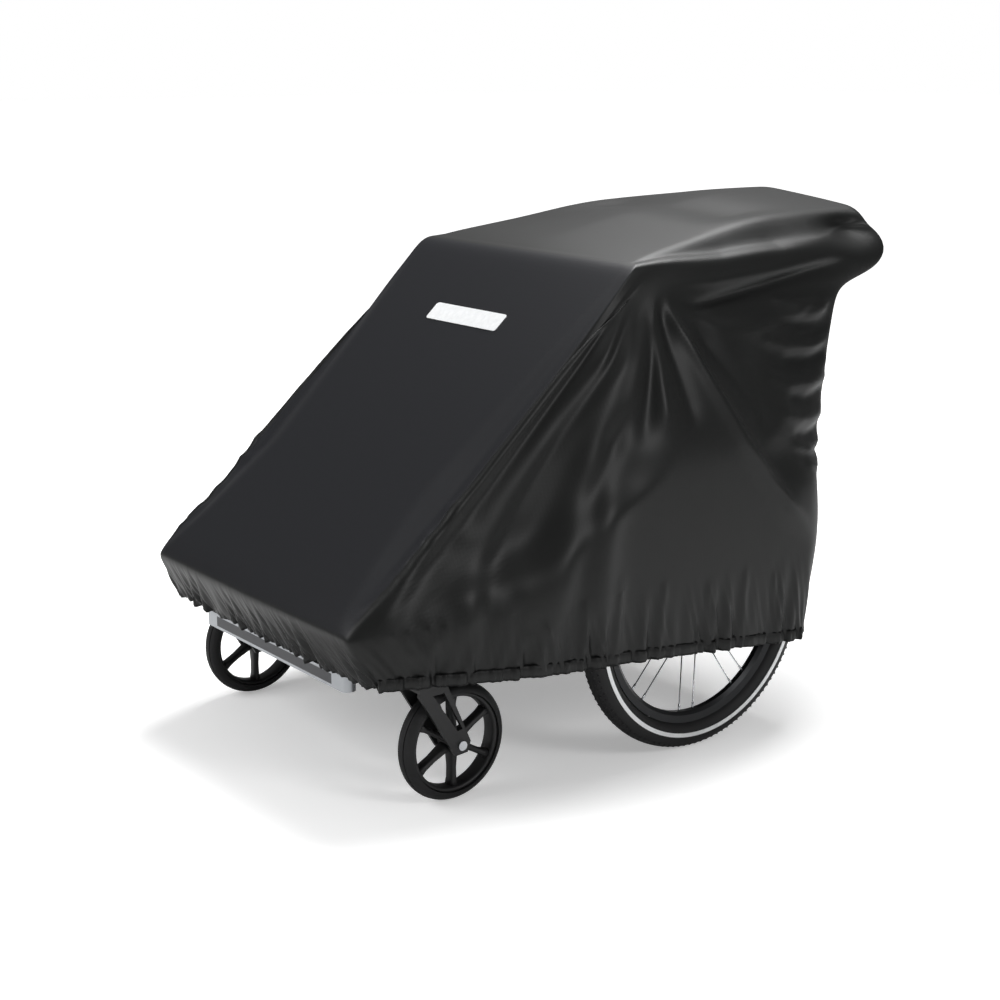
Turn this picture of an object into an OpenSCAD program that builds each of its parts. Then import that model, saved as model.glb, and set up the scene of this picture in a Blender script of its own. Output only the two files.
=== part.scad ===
// Two-seat child bicycle trailer in stroller form, under its fitted storage cover.
// +Z is up, -Y is the front, and the ground is at Z = 0.

/* [Cover] */
// Length of the cover, from its front crease to the back of its handlebar pocket
cover_length = 1280; // [1270:5:1360]
// Height of the cover over the handlebar
cover_height = 911; // [905:2:960]
// Height of the cover's front top edge
roof_front_h = 838; // [832:2:860]
// Height of the cover's front crease
crease_h = 311; // [305:1:325]
// Half width of the cover's front panel
panel_half_w = 288; // [287:1:296]
// Thickness of the doubled, coated cloth with its lining
cloth = 2; // [1:0.5:3]
// Height of the elastic hem's casing
hem_h = 22; // [16:1:30]

/* [Rear wheels] */
// Radius of the rear wheel over its tyre
wheel_r = 250; // [236:1:250]
// Width of the tyre
tyre_w = 47; // [36:1:47]
// Distance between the two rear wheels' middle planes
wheel_track = 762; // [750:1:762]
// Distance from the back of the cover to the rear axle
axle_from_rear = 605; // [600:1:610]
// Depth of the tyre and rim together
rim_depth = 64; // [60:1:70]
// Pairs of spokes in each rear wheel
spoke_pairs = 9; // [6:1:12]
// Radius of a spoke
spoke_r = 1.1; // [0.9:0.1:1.5]
// Radius of the quick-release axle
axle_r = 6; // [6:0.5:8]
// Radius of the axle's push button
button_r = 4; // [3:0.5:4.5]

/* [Casters] */
// Radius of the caster wheel over its tyre
caster_r = 100; // [90:1:102]
// Width of the caster tyre
caster_w = 40; // [30:1:42]
// Distance between the two casters' swivel axes
caster_track = 636; // [600:2:640]
// How far the caster axle trails behind its swivel axis
caster_trail = 55; // [40:1:60]
// Distance from the front of the cover to the swivel axes
swivel_from_front = 145; // [140:1:150]
// Radius of the swivel stem
stem_r = 8; // [6:0.5:10]

/* [Frame] */
// Radius of the frame tubes
tube_r = 12; // [9:0.5:13]
// Side of the square base rails
rail = 28; // [22:1:32]
// Distance between the two base rails' middle lines
rail_track = 500; // [480:2:510]
// Height of the base rails' middle line
rail_z = 220; // [216:1:222]
// Radial clearance of every turning fit
run_fit = 0.06; // [0.02:0.01:0.1]
// Depth of the seat bench
seat_depth = 300; // [260:5:320]
// Bore radius of the hitch arm's socket
hitch_r = 12.75; // [10:0.25:14]
/* [Hidden] */
$fn = 48;
front_y = -cover_length / 2;
rear_y = cover_length / 2;
axle_y = rear_y - axle_from_rear;
wheel_x = wheel_track / 2;
gap = 0.3;
side_x = wheel_x + tyre_w / 2 + 4.5;
caster_x = caster_track / 2;
swivel_y = front_y + swivel_from_front;
caster_y = swivel_y + caster_trail;
rail_x = rail_track / 2;
rail_top = rail_z + rail / 2;
rail_front = front_y + 84;
rail_rear = axle_y + 205;
roof_front_y = axle_y - 84;
// Fold hinge of the upper frame, and the tops of its rear and front hoops
fold = [axle_y + 165, rail_top + 22];
hoop_x = panel_half_w - cloth - tube_r - 6;
rear_top = [axle_y + 265, roof_front_h - 48];
front_top = [roof_front_y + 44, roof_front_h - 38];
// Handlebar hub pivot and the middle of its grip
hub = rear_top + [0, -12];
grip = [rear_y - 75, cover_height - 46];
grip_r = 15;
hub_x = hoop_x - tube_r - 14;
// Rear hub, brake ring and stem places
hub_in = wheel_x - 34;
hub_out = wheel_x + 17;
ring_r = 45;
pin_r = 4;
receiver_in = hub_in - 40;
crown_z = 2 * caster_r + 12;
stem_top = crown_z + 52;
fork_in = caster_w / 2 + 3;
fork_t = 7;
rim_out_r = wheel_r - tyre_w + 6;
rim_in_r = wheel_r - rim_depth;
tyre_mid_r = wheel_r - tyre_w / 2;
bumper_z = rail_z - 21;
bumper_y = front_y + 68;
pedal_y = rail_rear - 12;
pedal_z = rail_z - 4;

// ---- Helpers ----

// A round bar between two points
module bar(a, b, r) {
    d = b - a;
    len = norm(d);
    translate(a) rotate([0, acos(d.z / len), atan2(d.y, d.x)]) cylinder(r = r, h = len);
}

// A bent tube along points, with slightly larger cast elbows at its bends
module bent_tube(points, r) {
    for (i = [0 : len(points) - 2]) bar(points[i], points[i + 1], r);
    for (i = [1 : len(points) - 2]) translate(points[i]) sphere(r = r + 2);
}

// A cylinder along X, centred on a middle plane
module disc_x(r, x0, x1) translate([x0, 0, 0]) rotate([0, 90, 0]) cylinder(r = r, h = x1 - x0);

// A box given by its low and high corners
module block(low, high) translate(low) cube(high - low);

// The part on +X, and its twin mirrored to -X
module both() {
    children();
    mirror([1, 0, 0]) children();
}
module on_side(side) {
    if (side > 0) children();
    else mirror([1, 0, 0]) children();
}

// ---- Rear wheels, each drawn about the axle and moved out to its own side ----

module at_wheel(side) on_side(side) translate([0, axle_y, wheel_r]) children();
module spin_x() rotate([0, 90, 0]) rotate_extrude($fn = 96) children();

module tyre(side) color("#151515") at_wheel(side) translate([wheel_x, 0, 0]) spin_x()
    difference() {
        translate([tyre_mid_r, 0]) circle(r = tyre_w / 2, $fn = 64);
        translate([tyre_mid_r - 4, 0]) circle(r = tyre_w / 2 - 8, $fn = 64);
        translate([0, -tyre_w]) square([rim_out_r - 4, 2 * tyre_w]);
    }

module rim(side) color("#1d1d1e") at_wheel(side) translate([wheel_x, 0, 0]) spin_x()
    polygon([[rim_in_r, -5], [rim_in_r + 6, -10], [rim_out_r - 4.3, -12], [rim_out_r - 4.3, -9],
        [rim_in_r + 10, -7], [rim_in_r + 10, 7], [rim_out_r - 4.3, 9], [rim_out_r - 4.3, 12],
        [rim_in_r + 6, 10], [rim_in_r, 5]]);

module stripe(side) color("#e8e8e8") at_wheel(side) translate([wheel_x, 0, 0]) spin_x()
    translate([tyre_mid_r - 6.5, tyre_w / 2 - 0.4]) square([7, 0.9]);

// Nine pairs of spokes, each from a hub flange to its nipple at the rim
module spokes(side) color("#c9ccd0") at_wheel(side)
    for (k = [0 : spoke_pairs - 1]) for (s = [-1, 1]) {
        mid = -94.6 + k * 360 / spoke_pairs;
        inner = mid + s * 15;
        outer = mid + s * 5;
        foot_r = ring_r - 18;
        a = [wheel_x + s * 9 - 8, foot_r * cos(inner), foot_r * sin(inner)];
        b = [wheel_x, rim_in_r * cos(outer), rim_in_r * sin(outer)];
        n = a + (b - a) * 0.93;
        bar(a, b, spoke_r);
        bar(n, b, spoke_r + 1);
    }

// Hub shell with two spoke flanges and the brake ring's row of pin holes
module hub_shell(side) color("#2a2b2d") at_wheel(side) difference() {
    union() {
        disc_x(18, hub_in + 8, hub_out);
        for (x = [wheel_x - 19.5, wheel_x - 1.5]) disc_x(30, x, x + 5);
        disc_x(ring_r + 12, hub_in, hub_in + 8);
    }
    disc_x(axle_r + run_fit, hub_in - 1, hub_out + 1);
    for (k = [0 : 23]) rotate([k * 15, 0, 0]) translate([0, ring_r, 0])
        disc_x(pin_r + 1, hub_in - 1, hub_in + 6);
}

module axle(side) color("#b9bcc0") at_wheel(side) difference() {
    union() {
        disc_x(axle_r, receiver_in + 6, hub_out + 1);
        disc_x(axle_r + 5, hub_out + gap, hub_out + 2.5);
    }
    disc_x(button_r + run_fit, hub_out - 3, hub_out + 3);
}

// Push button that lets the axle out of its receiver
module button(side) color("#3a3a3c") at_wheel(side) disc_x(button_r, hub_out, hub_out + 6);

// ---- Casters ----

module at_swivel(side) on_side(side) translate([caster_x, swivel_y, 0]) children();

module fork(side) color("#1b1b1c") at_swivel(side) difference() {
    union() {
        for (s = [-1, 1]) translate([s * (fork_in + fork_t / 2) - fork_t / 2, 0, 0])
            rotate([90, 0, 90]) linear_extrude(fork_t) difference() {
                polygon([[-24, crown_z], [26, crown_z], [caster_trail + 18, caster_r + 4],
                    [caster_trail + 12, caster_r - 14], [caster_trail - 12, caster_r - 16],
                    [-26, crown_z - 14]]);
                polygon([[0, crown_z - 16], [22, crown_z - 16], [caster_trail + 2, caster_r + 28],
                    [caster_trail - 8, caster_r + 26]]);
            }
        block([-fork_in - fork_t, -26, 2 * caster_r + 4], [fork_in + fork_t, 26, crown_z]);
        translate([0, 0, crown_z - 1]) cylinder(r = 20, h = 9);
    }
    translate([0, 0, 2 * caster_r]) cylinder(r = stem_r, h = 40);
    translate([0, caster_trail, caster_r]) disc_x(5, -60, 60);
}

module stem(side) color("#b9bcc0") at_swivel(side)
    translate([0, 0, 2 * caster_r + 4]) cylinder(r = stem_r, h = stem_top - 2 * caster_r - 8);

module caster_bolt(side) color("#c4c6c8") at_swivel(side) translate([0, caster_trail, caster_r])
    union() {
        disc_x(5, -fork_in - fork_t - 0.5, fork_in + fork_t + 0.5);
        for (s = [0, 1]) mirror([s, 0, 0]) disc_x(8, fork_in + fork_t, fork_in + fork_t + 4);
    }

// Six double-ribbed spokes between the hub and a deep rim
module caster_rim(side) color("#202021") at_swivel(side) translate([0, caster_trail, caster_r])
    difference() {
        union() {
            rotate([20, 0, 0]) disc_x(15, -fork_in + 0.5, fork_in - 0.5);
            rotate([20, 0, 0]) difference() {
                disc_x(caster_r - 16, -15, 15);
                disc_x(caster_r - 24, -16, 16);
            }
            for (k = [0 : 5]) rotate([30 + 60 * k, 0, 0]) {
                block([-2, 8, -7], [2, caster_r - 21, 7]);
                for (s = [-1, 1]) block([-9, 12.5, s * 5 - 2], [9, caster_r - 21, s * 5 + 2]);
            }
        }
        rotate([20, 0, 0]) disc_x(5 + run_fit, -fork_in, fork_in);
    }

module caster_tyre(side) color("#141414") at_swivel(side) translate([0, caster_trail, caster_r])
    spin_x() difference() {
        translate([caster_r - 18, 0]) circle(r = 18, $fn = 48);
        translate([0, -30]) square([caster_r - 16, 60]);
        for (s = [-1, 1]) translate([caster_r - 3, s * 7]) square([4, 1.6], center = true);
    }

// ---- Base frame ----

module base_rail(side) color("#2c2d2f") on_side(side) difference() {
    block([rail_x - rail / 2, rail_front, rail_z - rail / 2],
        [rail_x + rail / 2, rail_rear, rail_top]);
    block([rail_x - rail / 2 + 2.5, rail_front - 1, rail_z - rail / 2 + 2.5],
        [rail_x + rail / 2 - 2.5, rail_rear + 1, rail_top - 2.5]);
}

module axle_tube() color("#2c2d2f") translate([0, axle_y, wheel_r]) difference() {
    disc_x(16, -receiver_in, receiver_in);
    disc_x(13, -receiver_in - 1, receiver_in + 1);
}

// Castings that hold the axle tube on the rails and take the quick-release axles
module axle_receivers() color("#232425") both() translate([0, axle_y, wheel_r]) difference() {
    union() {
        disc_x(22, receiver_in, hub_in - 4);
        block([rail_x - 20, -24, rail_top - wheel_r], [rail_x + 20, 24, 10]);
        block([rail_x + 16, -14, rail_top - wheel_r], [hub_in - 8, 14, 10]);
        block([receiver_in + 6, -9, ring_r - 10], [hub_in - 6, 9, ring_r + 10]);
        block([receiver_in + 10, -9, 0], [hub_in - 8, 9, ring_r]);
    }
    disc_x(axle_r + run_fit, receiver_in - 1, hub_in);
    disc_x(16 + gap, rail_x - 21, receiver_in + gap);
    translate([0, 0, ring_r]) disc_x(pin_r + run_fit, receiver_in, hub_in);
}

module floor_pan() color("#343537") difference() {
    block([-rail_x + rail / 2 + gap, rail_front + 30, rail_z - 10],
        [rail_x - rail / 2 - gap, axle_y - 30, rail_z - 6]);
    for (i = [0 : 5]) block([-rail_x + 60, rail_front + 70 + i * 70, rail_z - 12],
        [rail_x - 60, rail_front + 76 + i * 70, rail_z]);
}

// Low front hoop that carries the front edge of the cabin
module nose_hoop() color("#2c2d2f")
    bent_tube([for (p = [[-1, 0], [-1, 1], [1, 1], [1, 0]])
        [p[0] * rail_x, rail_front + 14, rail_top + p[1] * (crease_h - rail_top - 26)]], 9);

module bumper_bar() color("#b4b7ba") difference() {
    union() {
        block([-218, bumper_y - 12, bumper_z - 14], [218, bumper_y + 14, bumper_z + 14]);
        both() translate([218, bumper_y + 1, bumper_z - 14]) cylinder(r = 13, h = 28);
    }
    block([-190, bumper_y - 13, bumper_z - 9], [190, bumper_y - 8, bumper_z + 9]);
}

module bumper_insert() color("#3b3c3f")
    block([-190, bumper_y - 12, bumper_z - 9], [190, bumper_y - 8, bumper_z + 9]);

// Plates inside the rails, kept above the turning caster wheels
module bumper_brackets() color("#a9acaf") both() union() {
    block([rail_x - rail / 2 - 6, rail_front, 2 * caster_r + 4],
        [rail_x - rail / 2, rail_front + 28, rail_z + 6]);
    block([rail_x - rail / 2 - 36, bumper_y + 14, 2 * caster_r + 4],
        [rail_x - rail / 2, rail_front + 4, bumper_z + 14]);
}

module hinge_brackets() color("#232425") both() translate([0, fold.x, fold.y]) difference() {
    union() {
        block([hoop_x - 17, -20, rail_top - fold.y], [hoop_x - 9, 20, 20]);
        block([hoop_x + 9, -20, rail_top - fold.y - 8], [hoop_x + 17, 20, 20]);
        block([rail_x - 12, -20, rail_top - fold.y], [rail_x + rail / 2, 20, rail_top - fold.y + 3]);
        block([rail_x + rail / 2, -20, rail_top - fold.y - 8], [hoop_x + 17, 20, rail_top - fold.y + 3]);
    }
    disc_x(5, hoop_x - 20, hoop_x + 20);
}

module hinge_pins() color("#c4c6c8") both() translate([0, fold.x, fold.y]) union() {
    disc_x(5, hoop_x - 18, hoop_x + 18);
    disc_x(8, hoop_x - 21, hoop_x - 17);
    disc_x(8, hoop_x + 17, hoop_x + 20);
}

// Outriggers from the rails to the swivel housings
module caster_sockets() color("#1f2021") both() difference() {
    union() {
        translate([caster_x, swivel_y, crown_z + 10]) cylinder(r = 20, h = stem_top - crown_z - 4);
        block([rail_x + rail / 2, swivel_y - 18, rail_z + 8], [caster_x - 8, swivel_y + 18, rail_top + 22]);
        block([rail_x - rail / 2, swivel_y - 18, rail_top],
            [rail_x + rail / 2 + 1, swivel_y + 18, rail_top + 22]);
    }
    translate([caster_x, swivel_y, crown_z - 20]) cylinder(r = stem_r + run_fit, h = stem_top - crown_z + 18);
}

module hitch_receiver() color("#232425") translate([rail_x - 44, rail_front, rail_z + 18])
    difference() {
        union() {
            rotate([-90, 0, 0]) cylinder(r = hitch_r + 4, h = 90);
            block([0, 30, -12], [44 - rail / 2, 84, 4]);
        }
        translate([0, -1, 0]) rotate([-90, 0, 0]) cylinder(r = hitch_r, h = 81);
    }

// The bench has a channel underneath for the axle tube
module seat_bench() color("#4a4d52") translate([0, fold.x - 60, rail_top]) difference() {
    intersection() {
        block([-rail_x + 22, -seat_depth, 0], [rail_x - 22, 0, 64]);
        translate([0, 0, -60]) rotate([-4, 0, 0]) block([-400, -seat_depth - 60, 0], [400, 60, 108]);
    }
    translate([0, axle_y - fold.x + 60, 0])
        block([-rail_x, -16 - gap, -1], [rail_x, 16 + gap, wheel_r - rail_top + 16 + gap]);
}

module frame_screws() color("#c4c6c8") both() for (y = [rail_front + 40, swivel_y - 8, axle_y + 12])
    translate([rail_x, y, rail_z - rail / 2 - 3]) cylinder(r = 5, h = 3);

// ---- Parking brake ----

module brake_shaft() color("#2c2d2f") union() {
    both() difference() {
        block([rail_x - rail / 2 - 10, pedal_y - 12, pedal_z - 12],
            [rail_x - rail / 2, pedal_y + 12, pedal_z + 12]);
        translate([0, pedal_y, pedal_z]) disc_x(6, rail_x - rail, rail_x);
    }
    translate([0, pedal_y, pedal_z]) disc_x(6, -rail_x + rail / 2, rail_x - rail / 2);
}

module brake_pedal() color("#8f1f1c") translate([0, pedal_y, pedal_z]) difference() {
    union() {
        disc_x(11, -34, 34);
        rotate([12, 0, 0]) block([-30, 2, -4], [30, 62, 4]);
    }
    disc_x(6 + run_fit, -40, 40);
}

module brake_pin(side) color("#c4c6c8") on_side(side)
    translate([0, axle_y, wheel_r + ring_r]) disc_x(pin_r, receiver_in - 4, hub_in - 3);

// ---- Folding upper frame ----

function up(top, t) = fold + (top - fold) * t;

module rear_hoop() color("#2c2d2f") union() {
    for (s = [-1, 1]) bar([s * hoop_x, up(rear_top, 0.09).x, up(rear_top, 0.09).y],
        [s * hoop_x, rear_top.x, rear_top.y], tube_r);
    bar([-hoop_x, up(rear_top, 0.8).x, up(rear_top, 0.8).y],
        [hoop_x, up(rear_top, 0.8).x, up(rear_top, 0.8).y], tube_r - 2);
    both() translate([0, hub.x, hub.y]) disc_x(5 - run_fit, hub_x - 3, hoop_x);
}

module front_hoop() color("#2c2d2f") union() {
    for (s = [-1, 1]) bar([s * hoop_x, up(front_top, 0.09).x, up(front_top, 0.09).y],
        [s * hoop_x, front_top.x, front_top.y], tube_r - 1);
    bar([-hoop_x, front_top.x, front_top.y], [hoop_x, front_top.x, front_top.y], tube_r - 1);
    for (s = [-1, 1]) translate([s * hoop_x, front_top.x, front_top.y]) sphere(r = tube_r + 1);
}

module roof_rails() color("#2c2d2f") both() difference() {
    bar([hoop_x, front_top.x + 9, front_top.y], [hoop_x, rear_top.x - 4, rear_top.y - 14], tube_r - 3);
    bar([hoop_x, fold.x, fold.y], [hoop_x, rear_top.x, rear_top.y], tube_r);
    translate([hoop_x, front_top.x, front_top.y]) sphere(r = tube_r + 1);
}

module hinge_knuckles() color("#232425") both() translate([hoop_x, fold.x, fold.y]) difference() {
    union() {
        disc_x(18, -8.5, 8.5);
        for (top = [rear_top, front_top])
            bar([0, 0, 0], [0, up(top, 0.12).x - fold.x, up(top, 0.12).y - fold.y], 8.4);
    }
    disc_x(5 + run_fit, -20, 20);
    for (t = [[rear_top, tube_r], [front_top, tube_r - 1]])
        bar([0, up(t[0], 0.09).x - fold.x, up(t[0], 0.09).y - fold.y],
            [0, t[0].x - fold.x, t[0].y - fold.y], t[1]);
}

// Leaning frame of the seat back: its own Z runs up the rear hoop
module on_back() translate([0, fold.x, fold.y])
    rotate([-atan2((rear_top - fold).x, (rear_top - fold).y), 0, 0]) children();
back_len = norm(rear_top - fold);

module seat_back() color("#3c3e42") on_back() difference() {
    block([-hoop_x + tube_r + gap, -6, 70], [hoop_x - tube_r - gap, -2, back_len - 130]);
    for (s = [-1, 1]) block([s * 110 - 30, -8, 300], [s * 110 + 30, 0, 306]);
}

module back_pads() color("#55585e") on_back() both()
    block([12, -34, 110], [hoop_x - tube_r - 16, -6.3, back_len - 150]);

// Two shoulder straps and a lap strap for each child
module harness_straps() color("#17181a") on_back() both() union() {
    for (s = [-1, 1]) block([108 + s * 48 - 12, -37, 120], [108 + s * 48 + 12, -34.3, back_len - 190]);
    block([60, -37, 150], [156, -34.3, 178]);
}

module harness_buckles() color("#0f1011") on_back() both()
    block([80, -50, 140], [136, -37.3, 200]);

// ---- Handlebar ----

module handle_hubs() color("#232425") both() translate([0, hub.x, hub.y]) difference() {
    disc_x(26, hub_x - 12, hub_x + 12);
    disc_x(10, hub_x - 13, hub_x - 4);
    disc_x(5, hub_x - 14, hub_x + 13);
}

module handlebar_tube() color("#2c2d2f") union() {
    both() translate([0, hub.x, hub.y]) disc_x(10 - run_fit, hub_x - 34, hub_x - 4.3);
    bent_tube([[-hub_x + 24, hub.x + 10, hub.y + 3], [-hub_x + 24, grip.x, grip.y],
        [hub_x - 24, grip.x, grip.y], [hub_x - 24, hub.x + 10, hub.y + 3]], 9);
}

module handlebar_grip() color("#1a1a1b") translate([0, grip.x, grip.y]) difference() {
    disc_x(grip_r, -hub_x + 40, hub_x - 40);
    disc_x(9 + run_fit, -hub_x, hub_x);
}

// ---- Storage cover: rings of points from the hem up to the roof's edge ----
// Each ring runs over the right-hand side: front middle, front corner, side, wheel front,
// wheel rear, rear corner, rear middle.

function slope_y(z) = front_y + (z - crease_h) / (roof_front_h - crease_h) * (roof_front_y - front_y);
pw = panel_half_w;
hx = side_x;
ay = axle_y;
roof_rear = cover_height;
function front_pair(z) = [[0, slope_y(z), z], [pw, slope_y(z) + 2, z]];
rings = [
    concat([[0, front_y + 43, 205 + hem_h], [pw + 18, front_y + 52, 205 + hem_h]],
        [[caster_x + caster_w / 2 + 17, swivel_y - 28, 204 + hem_h], [hx, ay - wheel_r - 5, 194 + hem_h],
         [hx, ay + wheel_r + 6, 148 + hem_h], [hx - 89, ay + 268, 165 + hem_h],
         [0, ay + 275, 190 + hem_h]]),
    concat(front_pair(crease_h),
        [[caster_x + caster_w / 2 + 14, swivel_y - 20, crease_h + 7],
         [hx, ay - wheel_r - 13, 325], [hx, ay + wheel_r + 15, 325], [hx - 79, ay + 345, 345], [0, ay + 357, 350]]),
    concat(front_pair(430),
        [[pw + 42, ay - 355, 430], [hx, ay - 213, 430], [hx, ay + 227, 430],
         [hx - 89, ay + 357, 440], [0, ay + 365, 445]]),
    concat(front_pair(510),
        [[pw + 30, ay - 325, 515], [hx, ay - 85, 512], [hx, ay + 90, 512],
         [hx - 99, ay + 363, 520], [0, ay + 370, 525]]),
    concat(front_pair(670),
        [[pw + 12, ay - 235, 675], [pw + 57, ay - 55, 680], [pw + 52, ay + 115, 690],
         [pw + 10, ay + 370, 680], [0, ay + 375, 685]]),
    concat(front_pair(765),
        [[pw + 3, ay - 145, 766], [pw + 17, ay - 35, 768], [pw + 12, ay + 165, 772],
         [pw + 1, ay + 415, 765], [0, ay + 423, 770]]),
    concat(front_pair(roof_front_h - 3),
        [[pw + 1, ay - 35, roof_front_h + 2], [pw + 2, ay + 85, roof_front_h + 15],
         [pw + 3, ay + 295, roof_front_h + 35], [pw - 3, rear_y - 28, roof_rear - 96],
         [0, rear_y, roof_rear - 89]]),
    concat([[0, roof_front_y + 6, roof_front_h], [pw - 4, roof_front_y + 8, roof_front_h]],
        [[pw - 4, ay - 32, roof_front_h + 6], [pw - 3, ay + 85, roof_front_h + 19],
         [pw - 2, ay + 295, roof_front_h + 39], [pw - 5, rear_y - 12, roof_rear - 53],
         [0, rear_y - 6, roof_rear - 39]]),
    concat([[0, roof_front_y + 16, roof_front_h + 1], [pw - 16, roof_front_y + 18, roof_front_h + 1]],
        [[pw - 16, ay - 28, roof_front_h + 8], [pw - 15, ay + 85, roof_front_h + 22],
         [pw - 14, ay + 295, roof_front_h + 43], [pw - 18, rear_y - 65, roof_rear - 26],
         [0, rear_y - 62, roof_rear]])];

// A ring point moved in by the cloth's thickness, towards the middle of the cabin
centre = [0, ay - 40, 480];
function in_pocket(p) = p.y > ay + 380 && p.z > 700;
function inward(p) = p - [sign(p.x) * min(abs(p.x), cloth), sign(p.y - centre.y) * cloth,
    in_pocket(p) ? sign(p.z - grip.y) * cloth : p.z > 600 ? cloth : 0];

// A closed slab over a grid of outer points: outer faces, inner faces and four edges
module slab(grid, flip = false) {
    rows = len(grid);
    cols = len(grid[0]);
    count = rows * cols;
    points = concat([for (row = grid) for (p = row) p], [for (row = grid) for (p = row) inward(p)]);
    function at(i, j) = i * cols + j;
    outer = [for (i = [0 : rows - 2]) for (j = [0 : cols - 2]) for (t = [0, 1])
        t == 0 ? [at(i, j), at(i + 1, j), at(i + 1, j + 1)] : [at(i, j), at(i + 1, j + 1), at(i, j + 1)]];
    inner = [for (f = outer) [f[0] + count, f[2] + count, f[1] + count]];
    border = concat([for (j = [0 : cols - 2]) [at(0, j), at(0, j + 1)]],
        [for (i = [0 : rows - 2]) [at(i, cols - 1), at(i + 1, cols - 1)]],
        [for (j = [cols - 1 : -1 : 1]) [at(rows - 1, j), at(rows - 1, j - 1)]],
        [for (i = [rows - 1 : -1 : 1]) [at(i, 0), at(i - 1, 0)]]);
    // Each border face is split from its lower corner, so that neighbours split alike
    function low(e) = points[e[0]].z + points[e[0]].y / 100 < points[e[1]].z + points[e[1]].y / 100;
    edges = [for (e = border) for (t = [0, 1]) low(e)
        ? (t == 0 ? [e[0], e[1], e[1] + count] : [e[0], e[1] + count, e[0] + count])
        : (t == 0 ? [e[0], e[1], e[0] + count] : [e[1], e[1] + count, e[0] + count])];
    faces = concat(outer, inner, edges);
    polyhedron(points, flip ? [for (f = faces) [f[0], f[2], f[1]]] : faces, convexity = 8);
}
function twin(p) = [-p.x, p.y, p.z];
function across(ring, j, k) = [twin(ring[j]), ring[k], ring[j]];

module cover_front() color("#2c2d31") slab([for (r = rings) across(r, 1, 0)], true);
module cover_side(side) color("#27282b") on_side(side)
    slab([for (r = rings) [for (j = [1 : 5]) r[j]]], true);
module cover_rear() color("#232427") slab([for (r = rings) across(r, 5, 6)]);
// The roof rises a little along its middle
edge = rings[8];
crown = [0, 0, 4, 8, 14];
function crest(j) = j == 1 ? edge[0] : j == 5 ? edge[6] : [0, edge[j].y, edge[j].z + crown[j]];
module cover_roof() color("#2e2f33")
    slab([for (j = [1 : 5]) [twin(edge[j]), crest(j), edge[j]]], true);

// Casing of the elastic hem, hung under the panels' lower edges
hem_line = [for (j = [0 : 6]) rings[0][j]];
hem_loop = concat(hem_line, [for (j = [5 : -1 : 1]) twin(hem_line[j])]);
function dropped(p, d) = [p.x, p.y, p.z - d];
module cover_hem() color("#1f2022") {
    n = len(hem_loop);
    inner_loop = [for (p = hem_loop) inward(inward(p))];
    points = concat([for (p = hem_loop) dropped(p, gap)], [for (p = hem_loop) dropped(p, hem_h)],
        [for (p = inner_loop) dropped(p, gap)], [for (p = inner_loop) dropped(p, hem_h)]);
    polyhedron(points, [for (i = [0 : n - 1]) for (f = let (k = (i + 1) % n) [
        [i, k, n + k, n + i], [2 * n + k, 2 * n + i, 3 * n + i, 3 * n + k],
        [k, i, 2 * n + i, 2 * n + k], [n + i, n + k, 3 * n + k, 3 * n + i]]) f], convexity = 6);
}

base_rail(1);  // base_rail_left
base_rail(-1);  // base_rail_right
axle_tube();
axle_receivers();
floor_pan();
nose_hoop();
bumper_bar();
bumper_insert();
bumper_brackets();
hinge_brackets();
hinge_pins();
caster_sockets();
hitch_receiver();
seat_bench();
frame_screws();
brake_shaft();
brake_pedal();
brake_pin(1);  // brake_pin_left
brake_pin(-1);  // brake_pin_right
rear_hoop();
front_hoop();
roof_rails();
hinge_knuckles();
seat_back();
back_pads();
harness_straps();
harness_buckles();
handle_hubs();
handlebar_tube();
handlebar_grip();
tyre(1);  // tyre_left
rim(1);  // rim_left
stripe(1);  // stripe_left
spokes(1);  // spokes_left
hub_shell(1);  // hub_left
axle(1);  // axle_left
button(1);  // button_left
tyre(-1);  // tyre_right
rim(-1);  // rim_right
stripe(-1);  // stripe_right
spokes(-1);  // spokes_right
hub_shell(-1);  // hub_right
axle(-1);  // axle_right
button(-1);  // button_right
fork(1);  // fork_left
stem(1);  // stem_left
caster_bolt(1);  // caster_bolt_left
caster_rim(1);  // caster_rim_left
caster_tyre(1);  // caster_tyre_left
fork(-1);  // fork_right
stem(-1);  // stem_right
caster_bolt(-1);  // caster_bolt_right
caster_rim(-1);  // caster_rim_right
caster_tyre(-1);  // caster_tyre_right
cover_front();
cover_roof();
cover_side(1);  // cover_side_left
cover_side(-1);  // cover_side_right
cover_rear();
cover_hem();
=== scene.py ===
# %% [markdown]
# # A two-seat child trailer under its storage cover
# The cover is one piece of coated polyester, cut in panels and sewn, that drops over the trailer and
# is gathered by an elastic hem. Under it stand a tube frame, two seats, two spoked wheels and two
# casters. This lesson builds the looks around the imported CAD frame, one piece at a time.

import math

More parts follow.
